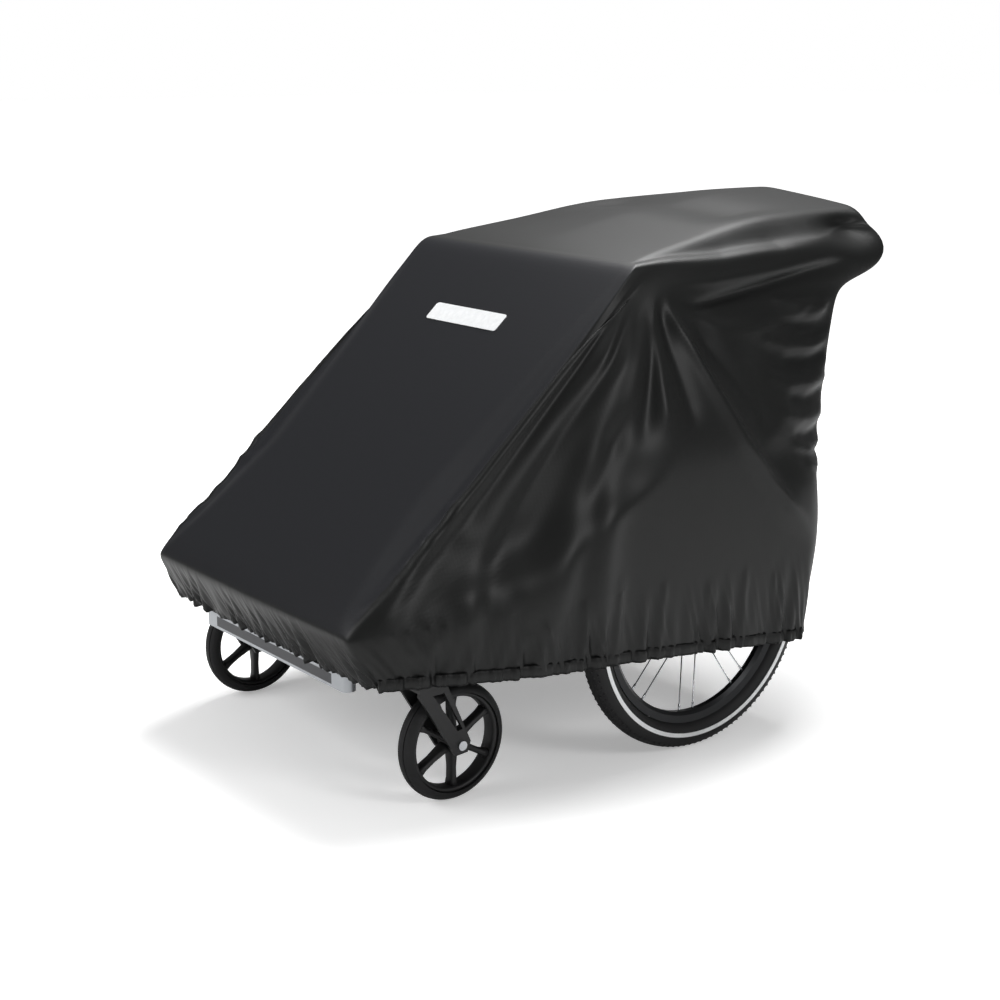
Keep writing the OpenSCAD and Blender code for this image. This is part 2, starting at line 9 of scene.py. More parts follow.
import bmesh
import bpy
import numpy as np
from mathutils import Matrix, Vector


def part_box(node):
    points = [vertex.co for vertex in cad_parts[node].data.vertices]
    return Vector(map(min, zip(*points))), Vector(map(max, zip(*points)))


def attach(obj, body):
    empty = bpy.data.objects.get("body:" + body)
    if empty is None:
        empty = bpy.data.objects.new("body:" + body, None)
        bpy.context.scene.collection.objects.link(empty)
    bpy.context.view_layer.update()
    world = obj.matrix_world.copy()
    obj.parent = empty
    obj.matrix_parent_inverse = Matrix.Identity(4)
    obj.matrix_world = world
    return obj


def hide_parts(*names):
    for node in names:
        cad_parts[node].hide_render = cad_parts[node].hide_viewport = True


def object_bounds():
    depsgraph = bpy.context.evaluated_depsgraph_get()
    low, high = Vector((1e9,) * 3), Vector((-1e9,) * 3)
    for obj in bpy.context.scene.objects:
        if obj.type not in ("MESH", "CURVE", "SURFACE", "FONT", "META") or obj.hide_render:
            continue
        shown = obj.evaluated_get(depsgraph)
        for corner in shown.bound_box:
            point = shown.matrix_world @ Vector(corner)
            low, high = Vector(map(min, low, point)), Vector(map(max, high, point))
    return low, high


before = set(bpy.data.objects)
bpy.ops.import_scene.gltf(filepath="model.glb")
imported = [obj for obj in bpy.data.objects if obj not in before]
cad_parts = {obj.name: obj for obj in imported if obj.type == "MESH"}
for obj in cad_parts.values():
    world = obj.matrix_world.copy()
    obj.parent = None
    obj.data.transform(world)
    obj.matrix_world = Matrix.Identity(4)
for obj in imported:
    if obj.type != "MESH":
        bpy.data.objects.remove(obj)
cad_box = [list(map(float, corner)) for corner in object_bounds()]
MM = 0.001
(left_x, front_y, _), (right_x, rear_y, top_z) = [[c / MM for c in corner] for corner in cad_box]
print("frame box in mm:", [round(c) for c in (left_x, front_y, right_x, rear_y, top_z)])

# %% [markdown]
# ## Camera
# The trailer stands three-quarter on, seen from a little above its roof. The camera comes first, so
# that every later choice of detail is made for what it sees. A long lens keeps the box shape calm.

# %% Camera
camera = bpy.data.objects.new("camera", bpy.data.cameras.new("camera"))
bpy.context.scene.collection.objects.link(camera)
towards_camera = Vector((0.7705, -0.5891, 0.2436))
camera.location = (2.5135, -2.0185, 1.1787)
camera.rotation_euler = (-towards_camera).to_track_quat("-Z", "Y").to_euler()
camera.data.lens = 64.2
camera.data.sensor_width = 36
bpy.context.scene.camera = camera
print("camera lens:", camera.data.lens, "mm")

# %% [markdown]
# ## Colours, nodes and meshes
# Colours are written as the hex values a screen shows, and one function turns them into the linear
# numbers a shader adds up. One small function adds a node with its settings and its links, and
# another makes an object from points and faces, with its place in its mesh.


# %% Helpers
def colour(hex_code):
    """sRGB hex to linear RGBA."""
    parts = [int(hex_code[i:i + 2], 16) / 255 for i in (1, 3, 5)]
    return [c / 12.92 if c <= 0.04045 else ((c + 0.055) / 1.055) ** 2.4 for c in parts] + [1]


def add_node(tree, kind, settings=None, links=None):
    """A node with its settings; a link goes from another node's output to this node's input."""
    node = tree.nodes.new(kind)
    for key, value in (settings or {}).items():
        if isinstance(key, str) and hasattr(node, key):
            setattr(node, key, value)
        else:
            node.inputs[key].default_value = value
    for key, source in (links or {}).items():
        tree.links.new(source, node.inputs[key])
    return node


def mesh_piece(name, points, faces, material=None, smooth=True):
    """An object at the origin from points in metres and lists of corners."""
    mesh = bpy.data.meshes.new(name)
    mesh.from_pydata([tuple(p) for p in points], [], [tuple(f) for f in faces])
    mesh.update()
    mesh.polygons.foreach_set("use_smooth", [smooth] * len(mesh.polygons))
    if material:
        mesh.materials.append(material)
    piece = bpy.data.objects.new(name, mesh)
    bpy.context.scene.collection.objects.link(piece)
    return piece


def corner_points(mesh):
    """For each face corner, the point that it stands on."""
    which = np.zeros(len(mesh.loops), int)
    mesh.loops.foreach_get("vertex_index", which)
    return which


def set_cloth_map(mesh, places):
    """The UV map of a cloth, in metres, from a place for each point."""
    layer = mesh.uv_layers.new(name="cloth")
    layer.data.foreach_set("uv", places[corner_points(mesh)].ravel())


def shaded(name, settings):
    """A material with one Principled shader, and its tree."""
    material = bpy.data.materials.new(name)
    material.use_nodes = True
    tree = material.node_tree
    shader = tree.nodes["Principled BSDF"]
    for key, value in settings.items():
        shader.inputs[key].default_value = value
    return material, tree, shader


# %% [markdown]
# ## Finishes
# Most of the trailer is black, so the materials differ by how they shine: coated cloth is satin with
# a woven grain, rubber is dull, moulded nylon has a fine spark texture, anodised aluminium is a
# metal with a soft blur. Every pattern's scale is worked out from a real size in millimetres.


# %% Grain and wear shared by the finishes
def colour_sockets(sockets):
    """The sockets of a Mix node that carry a colour."""
    return [s for s in sockets if s.type == "RGBA"]


def grained(name, dark, light, patch_mm, grain_mm, bump_mm, settings, stretch=(1, 1, 1)):
    """Colour that drifts between two tones over patch_mm, with a grain of grain_mm standing bump_mm."""
    material, tree, shader = shaded(name, settings)
    place = add_node(tree, "ShaderNodeTexCoord").outputs["Object"]
    turned = add_node(tree, "ShaderNodeMapping", {"Scale": stretch}, {"Vector": place})
    drift = add_node(tree, "ShaderNodeTexNoise", {"Scale": 1000 / patch_mm, "Detail": 4.0},
        {"Vector": turned.outputs["Vector"]})
    tones = add_node(tree, "ShaderNodeMix", {"data_type": "RGBA"})
    tones.inputs["A"].default_value = colour(dark)
    tones.inputs["B"].default_value = colour(light)
    tree.links.new(drift.outputs["Fac"], tones.inputs["Factor"])
    tree.links.new(colour_sockets(tones.outputs)[0], shader.inputs["Base Color"])
    grain = add_node(tree, "ShaderNodeTexNoise", {"Scale": 1000 / grain_mm, "Detail": 3.0},
        {"Vector": turned.outputs["Vector"]})
    bump = add_node(tree, "ShaderNodeBump", {"Strength": 1.0, "Distance": bump_mm * MM},
        {"Height": grain.outputs["Fac"]})
    tree.links.new(bump.outputs["Normal"], shader.inputs["Normal"])
    return material, tree, shader, grain, drift


# %% Metals, plastics and rubber
# Butyl tyre rubber, moulded: nearly black, dull, with a faint grey bloom
tyre_rubber = grained("tyre_rubber", "#0f0f10", "#1a1a1b", 60, 1.2, 0.08,
    {"Roughness": 0.62, "Specular IOR Level": 0.35})[0]
# Black anodised aluminium rim, turned: metal under a dark dyed oxide skin
black_anodised = grained("black_anodised_aluminium", "#17181a", "#1f2022", 40, 0.6, 0.02,
    {"Roughness": 0.34, "Metallic": 0.6})[0]
# Clear anodised aluminium bumper, extruded: pale satin metal with lines along its length
clear_anodised = grained("clear_anodised_aluminium", "#9a9da1", "#b0b3b6", 90, 0.8, 0.02,
    {"Roughness": 0.42, "Metallic": 0.9}, (0.05, 1, 1))[0]
# Powder coated aluminium tube: dark grey, a slight orange peel
powder_coat = grained("powder_coated_aluminium", "#202124", "#2b2c2f", 50, 2.0, 0.05,
    {"Roughness": 0.45})[0]
# Glass-filled nylon, injection moulded: black with a fine spark-eroded texture
moulded_nylon = grained("glass_filled_nylon", "#101011", "#1b1b1c", 35, 0.7, 0.06,
    {"Roughness": 0.5, "Specular IOR Level": 0.45})[0]
# ABS insert, injection moulded: mid grey, low gloss
grey_abs = grained("moulded_abs", "#2f3034", "#3b3c40", 60, 0.8, 0.05, {"Roughness": 0.48})[0]
# Zinc plated or stainless steel: bright, slightly brushed
bright_steel = grained("stainless_steel", "#a9acb0", "#d0d2d5", 20, 0.3, 0.01,
    {"Roughness": 0.26, "Metallic": 1.0})[0]
# Red moulded pedal
red_nylon = grained("red_nylon", "#7c1a17", "#97241f", 30, 0.7, 0.05, {"Roughness": 0.45})[0]
# EVA foam grip: closed cells, soft and dull
grip_foam = grained("eva_foam", "#121213", "#1e1e1f", 12, 1.0, 0.18, {"Roughness": 0.8})[0]
# Retroreflective film: white glass-bead film, woven over with a hexagon of seals
reflective = grained("retroreflective_film", "#d8dadb", "#f2f3f4", 8, 0.5, 0.03,
    {"Roughness": 0.3, "Metallic": 0.1})[0]
print("hard finishes:", len(bpy.data.materials))


# %% [markdown]
# ## Cloths
# Coated polyester is a tight plain weave: its threads are a third of a millimetre apart, too fine to
# show, so the weave is drawn three times as coarse and only as bump. The coating gives it a satin
# shine. The seat cloth is a thicker, uncoated weave and the webbing has ribs across its length.


# %% Woven cloths
def woven(name, dark, light, thread_mm, bump_mm, settings, front_tone_and_light=None):
    """Two crossed waves on the cloth's own UV map, which is in metres, over a drifting colour."""
    material, tree, shader, grain, drift = grained(name, dark, light, 120, 6, 0.03, settings)
    cloth_uv = add_node(tree, "ShaderNodeUVMap", {"uv_map": "cloth"}).outputs["UV"]
    waves = [add_node(tree, "ShaderNodeTexWave",
        {"bands_direction": axis, "Scale": 1000 / thread_mm / 20, "Distortion": 0.6,
            "Detail Scale": 3.0}, {"Vector": cloth_uv}) for axis in "XY"]
    weave = add_node(tree, "ShaderNodeMath", {"operation": "ADD"},
        {0: waves[0].outputs["Fac"], 1: waves[1].outputs["Fac"]})
    height = add_node(tree, "ShaderNodeMath", {"operation": "MULTIPLY_ADD", 1: 0.3},
        {0: weave.outputs[0], 2: grain.outputs["Fac"]})
    bump = add_node(tree, "ShaderNodeBump", {"Strength": 1.0, "Distance": bump_mm * MM},
        {"Height": height.outputs[0]})
    tree.links.new(bump.outputs["Normal"], shader.inputs["Normal"])
    # The front panel's tint: a bluer tone of the panel's own, made lighter as painted light from the
    # front
    if front_tone_and_light:
        panel = add_node(tree, "ShaderNodeAttribute", {"attribute_name": "front_panel_tone_and_light"})
        mix = add_node(tree, "ShaderNodeMix", {"data_type": "RGBA"},
            {"Factor": panel.outputs["Fac"]})
        colours = colour_sockets(mix.inputs)
        was = shader.inputs["Base Color"].links[0].from_socket
        tree.links.new(was, colours[0])
        colours[1].default_value = colour(front_tone_and_light)
        tree.links.new(colour_sockets(mix.outputs)[0], shader.inputs["Base Color"])
    return material


# Polyurethane coated polyester, plain weave: satin black, the coating shines on every ridge
# Its front panel gets a lighter, bluer base: the bluer tone is the panel's own, the lift is painted light
# from the front
coated_polyester = woven("coated_polyester", "#0e0f0f", "#131413", 1.0, 0.05,
    {"Roughness": 0.44, "Specular IOR Level": 0.3}, front_tone_and_light="#15161a")
# Polyester seat cloth, basket weave: charcoal, matt
seat_polyester = woven("basket_weave_polyester", "#3a3c40", "#4c4e53", 2.4, 0.25,
    {"Roughness": 0.85, "Sheen Weight": 0.2})
# Polypropylene webbing: black, ribbed across
harness_webbing = woven("polypropylene_webbing", "#131314", "#1d1d1f", 1.8, 0.3,
    {"Roughness": 0.7})
print("cloths:", coated_polyester.name, seat_polyester.name, harness_webbing.name)

# %% [markdown]
# ## The cover's shape
# A fitted cover has a pattern: rings of points round the trailer, from the hem up to the roof's
# edge. The points come from the frame: the panel's half width, the wheels that push the cloth out,
# and the handlebar that holds up the pocket at the back. Smooth curves through the rings that never
# bulge past their points give taut cloth, where a plain spline would ripple.

# %% Sizes of the cover, in mm, from the frame
axle_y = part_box("axle_tube")[0].y / MM + 16
wheel_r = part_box("tyre_left")[1].z / MM / 2
half_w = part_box("cover_front")[1].x / MM
side_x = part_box("cover_side_left")[1].x / MM
crease_z = 311
roof_z = 838
roof_y = axle_y - 84
caster = [(a + b) / 2 / MM for a, b in zip(*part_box("stem_left"))]
print("cover sizes:", round(axle_y), round(wheel_r), round(half_w), round(side_x))


def slope_y(z):
    """The front panel leans straight from its crease to the roof's front edge."""
    return front_y + (z - crease_z) / (roof_z - crease_z) * (roof_y - front_y)


def ring(front, *others):
    """Front middle and front corner, then the points round the side to the rear middle."""
    if isinstance(front, (int, float)):
        front = [[0, slope_y(front), front], [half_w, slope_y(front) + 2, front]]
    return list(front) + [[x, axle_y + y, z] for x, y, z in others]


ahead = caster[1] - axle_y
behind = rear_y - axle_y
rings = np.array([
    ring([[0, front_y + 43, 219], [half_w + 18, front_y + 52, 218]],
        [caster[0] + 37, ahead - 28, 216], [side_x, -wheel_r - 5, 198], [side_x, wheel_r - 13, 150],
        [side_x - 89, 268, 165], [0, 275, 190]),
    ring(crease_z, [caster[0] + 34, ahead - 20, crease_z + 7], [side_x, -wheel_r - 13, 325],
        [side_x, wheel_r - 3, 325], [side_x - 79, 325, 345], [0, 350, 350]),
    ring(430, [half_w + 42, -355, 430], [side_x, -213, 430], [side_x, 222, 430],
        [side_x - 89, 337, 440], [0, 362, 445]),
    ring(510, [half_w + 30, -325, 515], [side_x, -85, 512], [side_x, 90, 512],
        [side_x - 99, 360, 520], [0, 368, 525]),
    ring(670, [half_w + 12, -235, 675], [half_w + 57, -55, 680], [half_w + 52, 115, 690],
        [half_w + 10, 382, 680], [0, 385, 685]),
    ring(765, [half_w + 3, -145, 766], [half_w + 17, -35, 768], [half_w + 12, 165, 772],
        [half_w + 1, 415, 765], [0, 423, 770]),
    ring(roof_z - 3, [half_w + 1, -35, roof_z + 2], [half_w + 2, 85, roof_z + 15],
        [half_w + 3, 295, roof_z + 33], [half_w - 3, behind - 60, top_z - 84],
        [0, behind - 8, top_z - 80]),
    ring([[0, roof_y + 6, roof_z], [half_w - 4, roof_y + 8, roof_z]],
        [half_w - 4, -32, roof_z + 6], [half_w - 3, 85, roof_z + 19],
        [half_w - 2, 295, roof_z + 37], [half_w - 5, behind - 42, top_z - 42],
        [0, behind - 6, top_z - 39]),
    ring([[0, roof_y + 16, roof_z + 1], [half_w - 16, roof_y + 18, roof_z + 1]],
        [half_w - 16, -28, roof_z + 8], [half_w - 15, 85, roof_z + 22],
        [half_w - 14, 295, roof_z + 43], [half_w - 18, behind - 75, top_z - 26],
        [0, behind - 62, top_z])])


def along(knots, values, at, taut):
    """Values at places along the knots: straight lines, or curves that never overshoot a knot."""
    step = np.diff(knots)[:, None]
    slope = np.diff(values, axis=0) / step
    i = np.clip(np.searchsorted(knots, at, "right") - 1, 0, len(knots) - 2)
    s = ((at - knots[i]) / (knots[i + 1] - knots[i]))[:, None]
    if not taut:
        return values[i] * (1 - s) + values[i + 1] * s
    tangent = np.zeros_like(values)
    tangent[0], tangent[-1] = slope[0], slope[-1]
    before, after = 2 * step[1:] + step[:-1], step[1:] + 2 * step[:-1]
    same_way = slope[:-1] * slope[1:] > 1e-12
    harmonic = (before + after) / (before / np.where(same_way, slope[:-1], 1)
        + after / np.where(same_way, slope[1:], 1))
    tangent[1:-1] = np.where(same_way, harmonic, 0)
    return ((1 + 2 * s) * (1 - s) ** 2 * values[i] + s * (1 - s) ** 2 * step[i] * tangent[i]
        + s * s * (3 - 2 * s) * values[i + 1] + s * s * (s - 1) * step[i] * tangent[i + 1])


# %% [markdown]
# ## One net of cloth
# Rows run round the cover and columns run up it. The band under the crease has twice as many
# columns, because the elastic gathers it finely. The roof is a patch whose four sides are the top
# row, so the whole cover is one closed net with no seam to split.

# %% The net's rows and columns
SKIRT_ROWS, SIDE_ROWS = 24, 84
FRONT_HALF, SIDE_COLUMNS = 58, 164
height_at = np.r_[0, np.cumsum(np.linalg.norm(np.diff(rings, axis=0), axis=2).mean(1))]
round_at = np.r_[0, np.cumsum(np.linalg.norm(np.diff(rings, axis=1), axis=2).mean(0))]
rows = np.r_[np.linspace(0, height_at[1], SKIRT_ROWS + 1)[:-1],
    np.linspace(height_at[1], height_at[-1], SIDE_ROWS + 1)]
columns = np.r_[np.linspace(0, round_at[1], FRONT_HALF + 1)[:-1],
    np.linspace(round_at[1], round_at[5], SIDE_COLUMNS + 1)[:-1],
    np.linspace(round_at[5], round_at[6], FRONT_HALF + 1)]


def half_net():
    """Points on the +X half, rows by columns: straight up the front panel, taut curves elsewhere."""
    nets = []
    for taut in (True, False):
        up = along(height_at, rings.reshape(len(rings), -1), rows, taut)
        up = up.reshape(len(rows), 7, 3).transpose(1, 0, 2).reshape(7, -1)
        net = along(round_at, up, columns, True)
        nets.append(net.reshape(len(columns), len(rows), 3).transpose(1, 0, 2))
    t = np.clip((columns - round_at[1]) / (round_at[2] - round_at[1]), 0, 1)[None, :, None]
    weight = t * t * (3 - 2 * t)
    return nets[0] * weight + nets[1] * (1 - weight)


half = half_net()
mirrored = half[:, -2:0:-1] * [-1, 1, 1]
net = np.concatenate([half, mirrored], axis=1)
LOOP = net.shape[1]
print("net:", net.shape[0], "rows by", LOOP, "columns")


def doubled(line):
    """A closed row with a point added in every gap, on a smooth curve through four neighbours."""
    middle = (9 * (line + np.roll(line, -1, 0)) - np.roll(line, 1, 0) - np.roll(line, -2, 0)) / 16
    return np.stack([line, middle], axis=1).reshape(-1, line.shape[1])


def roof_patch(edge):
    """A Coons patch over the top row: its front, sides and rear meet the row point by point."""
    n, side = FRONT_HALF, SIDE_COLUMNS
    front = np.concatenate([edge[-n:], edge[:n + 1]])
    right = edge[n:n + side + 1]
    rear = edge[n + side:n + side + 2 * n + 1][::-1]
    left = edge[-n - side:len(edge) - n + 1][::-1]
    a = np.linspace(0, 1, 2 * n + 1)[None, :, None]
    b = np.linspace(0, 1, side + 1)[:, None, None]
    patch = (1 - b) * front[None] + b * rear[None] + (1 - a) * left[:, None] + a * right[:, None]
    patch -= ((1 - a) * (1 - b) * front[0] + a * (1 - b) * front[-1]
        + (1 - a) * b * rear[0] + a * b * rear[-1])
    crown = 13 * np.clip(b * 1.4, 0, 1) * (1 - (2 * a - 1) ** 2)
    patch[..., 2] += crown[..., 0]
    return patch


# %% Points and faces of the net
def cover_faces_and_points():
    """All points, all faces, and where each point lies: round the cover, up it, and in which part."""
    skirt = [doubled(row) for row in net[:SKIRT_ROWS]]
    upper = list(net[SKIRT_ROWS:])
    roof = roof_patch(net[-1])
    points = list(np.concatenate(skirt + upper))
    faces = []
    wide = 2 * LOOP
    for i in range(SKIRT_ROWS - 1):
        for j in range(wide):
            k = (j + 1) % wide
            faces.append((i * wide + j, i * wide + k, (i + 1) * wide + k, (i + 1) * wide + j))
    base = SKIRT_ROWS * wide
    low = (SKIRT_ROWS - 1) * wide
    for j in range(LOOP):
        k = (j + 1) % LOOP
        faces.append((low + 2 * j, low + 2 * j + 1, base + j))
        faces.append((low + 2 * j + 1, base + k, base + j))
        faces.append((low + 2 * j + 1, low + (2 * j + 2) % wide, base + k))
    for i in range(len(upper) - 1):
        for j in range(LOOP):
            k = (j + 1) % LOOP
            here = base + i * LOOP
            faces.append((here + j, here + k, here + LOOP + k, here + LOOP + j))
    top = base + (len(upper) - 1) * LOOP
    n, side = FRONT_HALF, SIDE_COLUMNS
    index = np.full((side + 1, 2 * n + 1), -1)
    index[0] = [top + (j % LOOP) for j in range(-n, n + 1)]
    index[:, -1] = [top + n + j for j in range(side + 1)]
    index[-1] = [top + n + side + 2 * n - j for j in range(2 * n + 1)]
    index[:, 0] = [top + (LOOP - n - j) for j in range(side + 1)]
    for b in range(1, side):
        for a in range(1, 2 * n):
            index[b, a] = len(points)
            points.append(roof[b, a])
    for b in range(side):
        for a in range(2 * n):
            faces.append((index[b, a], index[b, a + 1], index[b + 1, a + 1], index[b + 1, a]))
    return np.array(points), faces


points, faces = cover_faces_and_points()
wide = 2 * LOOP
n_skirt = SKIRT_ROWS * wide
n_wall = n_skirt + (SIDE_ROWS + 1) * LOOP
print("cover net:", len(points), "points,", sum(len(f) - 2 for f in faces), "triangles")

# %% [markdown]
# ## Rounding and normals
# Sewn cloth rounds every crease. Each pass moves a point towards the mean of its neighbours. Then a
# normal at each point gives the folds a direction to stand in.

# %% Neighbours, smoothing and normals, all as arrays
corners = np.array([f[:3] for f in faces] + [(f[0], f[2], f[3]) for f in faces if len(f) == 4])
edges = np.unique(np.sort(np.concatenate([corners[:, [0, 1]], corners[:, [1, 2]],
    corners[:, [2, 0]]]), axis=1), axis=0)


def neighbour_mean(values):
    """The mean of each point's neighbours."""
    total = np.zeros_like(values)
    for axis in range(values.shape[1]):
        total[:, axis] = (np.bincount(edges[:, 0], values[edges[:, 1], axis], len(values))
            + np.bincount(edges[:, 1], values[edges[:, 0], axis], len(values)))
    count = np.bincount(edges.ravel(), minlength=len(values))[:, None]
    return total / count


def smoothed(values, passes, hold):
    """Values after that many half-steps towards their neighbours; hold is 1 where nothing moves."""
    for _ in range(passes):
        values = values + (neighbour_mean(values) - values) * (0.6 * (1 - hold))
    return values


def normals_of(values):
    """Unit normals at the points."""
    a, b, c = (values[corners[:, k]] for k in range(3))
    face_normal = np.cross(b - a, c - a)
    total = np.stack([sum(np.bincount(corners[:, k], face_normal[:, axis], len(values))
        for k in range(3)) for axis in range(3)], axis=1)
    return total / np.linalg.norm(total, axis=1, keepdims=True)


is_hem_row = np.zeros((len(points), 1))
is_hem_row[:wide] = 1
points = smoothed(points, 14, is_hem_row)
normals = normals_of(points)
print("outward share:", float((normals[:n_wall, 0] * points[:n_wall, 0] > 0).mean().round(3)))

# %% [markdown]
# ## Where the cloth falls away from the frame
# Only the front panel's middle is stretched flat. Towards its two edges the cloth bridges to the
# side in a narrow bevel. Behind the roof's front corners the cloth hangs from a slanting ridge that
# runs to the handlebar, and the pocket's two ends, past the end of the grip, are empty and collapse.


# %% Bevels, sloping roof sides and hollow pocket ends
def ease(t):
    """0 to 1 with soft ends."""
    t = np.clip(t, 0, 1)
    return t * t * (3 - 2 * t)


def draped(values):
    """The cover with its bevels, roof slopes and hollows."""
    out = values.copy()
    x, y, z = np.abs(values[:, 0]), values[:, 1], values[:, 2]
    side = np.sign(values[:, 0])
    # The bevel of the front panel: its inner line bows in between the two corners
    inner = np.interp(z, [crease_z, 391, 504, 660, 800, roof_z], [288, 252, 222, 252, 280, 288])
    depth = np.interp(z, [crease_z, 391, 504, 660, 800, roof_z], [0, 13, 19, 14, 4, 0])
    on_panel = (y < roof_y + 10) & (y < slope_y(z) + 40) & (z > crease_z) & (x < half_w + 6)
    sink = depth * ease((x - inner) / (half_w + 1 - inner)) * on_panel
    out[:, 1] += 0.66 * sink
    out[:, 2] -= 0.75 * sink
    # The slanting ridge on each side of the roof, and the drop from it to the roof's side edge
    ridge = np.interp(y, [-40, 60, 200, 350, 480, 640], [284, 262, 238, 222, 214, 210])
    drop = np.interp(y, [-40, 40, 160, 300, 440, 520, 640], [0, 8, 24, 34, 30, 22, 16])
    amount = drop * ease((x - ridge) / (284 - ridge)) * ease((z - 735) / 120) * (y > -60)
    out[:, 2] -= amount
    # Slack across the middle of the roof, ahead of the pocket
    slack = 12 * np.exp(-((y - 310) / 75) ** 2) * (z > roof_z) * ease((230 - x) / 80)
    out[:, 2] -= slack
    # The hollow pocket end
    hollow = np.exp(-((y - 520) / 62) ** 2 - ((out[:, 2] - 858) / 20) ** 2) * (x > 150)
    out[:, 0] -= side * 46 * hollow * ease((x - 190) / 70)
    # Slack between the wheel and the pocket
    scoop = 20 * np.exp(-((y - 235) / 95) ** 2 - ((z - 655) / 75) ** 2) * (x > 200) * (y > -40)
    out[:, 0] -= side * scoop
    return out


points = smoothed(draped(points), 4, is_hem_row)
normals = normals_of(points)

# %% [markdown]
# ## Folds
# Cloth hung from high points and caught by an elastic hem makes folds that fan out between them.
# Each fold is a line on the side of the cover with a height and a width, sharp at its crest like a
# pulled fold or round like a loose one. The lines are listed one by one, as a costumer pins cloth.

# %% Fold lines on the side: (y, z) places in mm, height and half width in mm
SIDE_FOLDS = [
    # crest line, height, half width, sharpness from 0 round to 1 sharp
    ([(-20, 838), (-150, 722), (-330, 560), (-478, 430), (-570, 330), (-590, 235)], 9, 13, 0.7),
    ([(-45, 815), (-190, 678), (-370, 505), (-495, 390), (-580, 290)], -8, 12, 0.5),
    ([(-60, 800), (-153, 668), (-257, 560), (-360, 440), (-430, 350), (-470, 215)], 15, 24, 0.5),
    ([(-55, 780), (-125, 690), (-225, 590), (-330, 470), (-400, 370), (-430, 240)], -12, 16, 0.4),
    ([(-40, 790), (-105, 690), (-165, 600), (-210, 500), (-262, 390), (-310, 215)], 11, 34, 0.2),
    ([(-38, 790), (-85, 700), (-120, 630), (-150, 560), (-170, 500)], -6, 17, 0.2),
    ([(-90, 640), (-150, 560), (-200, 470), (-240, 370), (-258, 290), (-262, 185)], -10, 24, 0.2),
    ([(-30, 790), (-78, 700), (-125, 610), (-168, 520), (-196, 430), (-205, 330), (-212, 190)],
        12, 30, 0.2),
    ([(-22, 790), (-48, 700), (-80, 610), (-105, 540)], -8, 15, 0.5),
    ([(-12, 800), (-38, 730), (-48, 650), (-52, 560)], 9, 14, 0.6),
    ([(-5, 790), (-8, 700), (5, 620), (15, 560)], -7, 16, 0.4),
    ([(-8, 812), (18, 730), (60, 645), (118, 540), (190, 452), (262, 380), (300, 330)], 20, 17, 0.9),
    ([(20, 745), (66, 668), (128, 570), (200, 486), (262, 420)], -9, 30, 0.1),
    ([(45, 745), (90, 690), (150, 610), (215, 530)], -12, 22, 0.4),
    ([(15, 775), (70, 762), (150, 770), (260, 782), (380, 800), (500, 812)], -13, 12, 0.6),
    ([(10, 805), (120, 800), (240, 806), (350, 812), (500, 822)], 5, 12, 0.4),
    ([(30, 758), (110, 724), (200, 712), (300, 726), (390, 760)], 6, 16, 0.5),
    ([(250, 760), (320, 745), (380, 738), (425, 745)], 9, 8, 0.7),
    ([(240, 727), (310, 712), (370, 706), (420, 714)], -8, 9, 0.6),
    ([(200, 700), (280, 676), (350, 670), (412, 682)], 10, 9, 0.7),
    ([(260, 656), (330, 645), (400, 655)], -9, 9, 0.6),
    ([(190, 640), (270, 612), (340, 608), (405, 622)], 11, 10, 0.7),
    ([(250, 592), (320, 580), (398, 592)], -8, 9, 0.6),
    ([(215, 575), (290, 548), (350, 545), (400, 560)], 9, 9, 0.7),
    ([(260, 528), (320, 516), (390, 528)], -7, 8, 0.6),
    ([(245, 512), (310, 490), (360, 490), (400, 504)], 8, 8, 0.7),
    ([(290, 470), (340, 455), (385, 466)], 6, 8, 0.6),
    ([(300, 735), (350, 722), (408, 732)], 8, 6, 0.8), ([(310, 690), (355, 686), (414, 700)], -7, 6, 0.7),
    ([(300, 640), (350, 628), (410, 640)], 7, 6, 0.8), ([(305, 600), (350, 596), (404, 610)], 7, 6, 0.7),
    ([(310, 540), (350, 530), (402, 544)], 6, 6, 0.8), ([(315, 500), (355, 478), (400, 486)], -6, 6, 0.7),
    ([(-590, 372), (-572, 330), (-548, 282), (-520, 245)], 6, 7, 0.6),
    ([(-572, 408), (-556, 352), (-533, 296), (-508, 246)], 7, 7, 0.7),
    ([(-545, 440), (-530, 385), (-508, 318), (-492, 250)], 8, 8, 0.7),
    ([(-510, 462), (-500, 405), (-484, 335), (-474, 255)], 7, 8, 0.7),
    ([(-478, 495), (-470, 436), (-458, 372), (-450, 320)], 7, 8, 0.6),
    ([(-425, 530), (-424, 470), (-420, 415)], 6, 9, 0.6),
    ([(-385, 420), (-368, 340), (-352, 270), (-345, 200)], -6, 12, 0.6),
    ([(-318, 300), (-300, 262), (-286, 225), (-280, 195)], 7, 7, 0.7),
    ([(-345, 290), (-330, 256), (-316, 225), (-312, 200)], 6, 7, 0.7),
    ([(-240, 330), (-236, 280), (-238, 235), (-242, 195)], 6, 7, 0.7),
    ([(-160, 360), (-165, 290), (-172, 230), (-175, 185)], 5, 9, 0.5),
    ([(-60, 330), (-66, 270), (-70, 215), (-72, 170)], 4, 8, 0.6),
    ([(40, 310), (38, 260), (36, 205), (36, 160)], 5, 7, 0.6),
    ([(130, 320), (126, 260), (124, 205), (124, 155)], 4, 8, 0.6),
    ([(200, 300), (200, 250), (200, 200), (200, 155)], 4, 7, 0.6)]


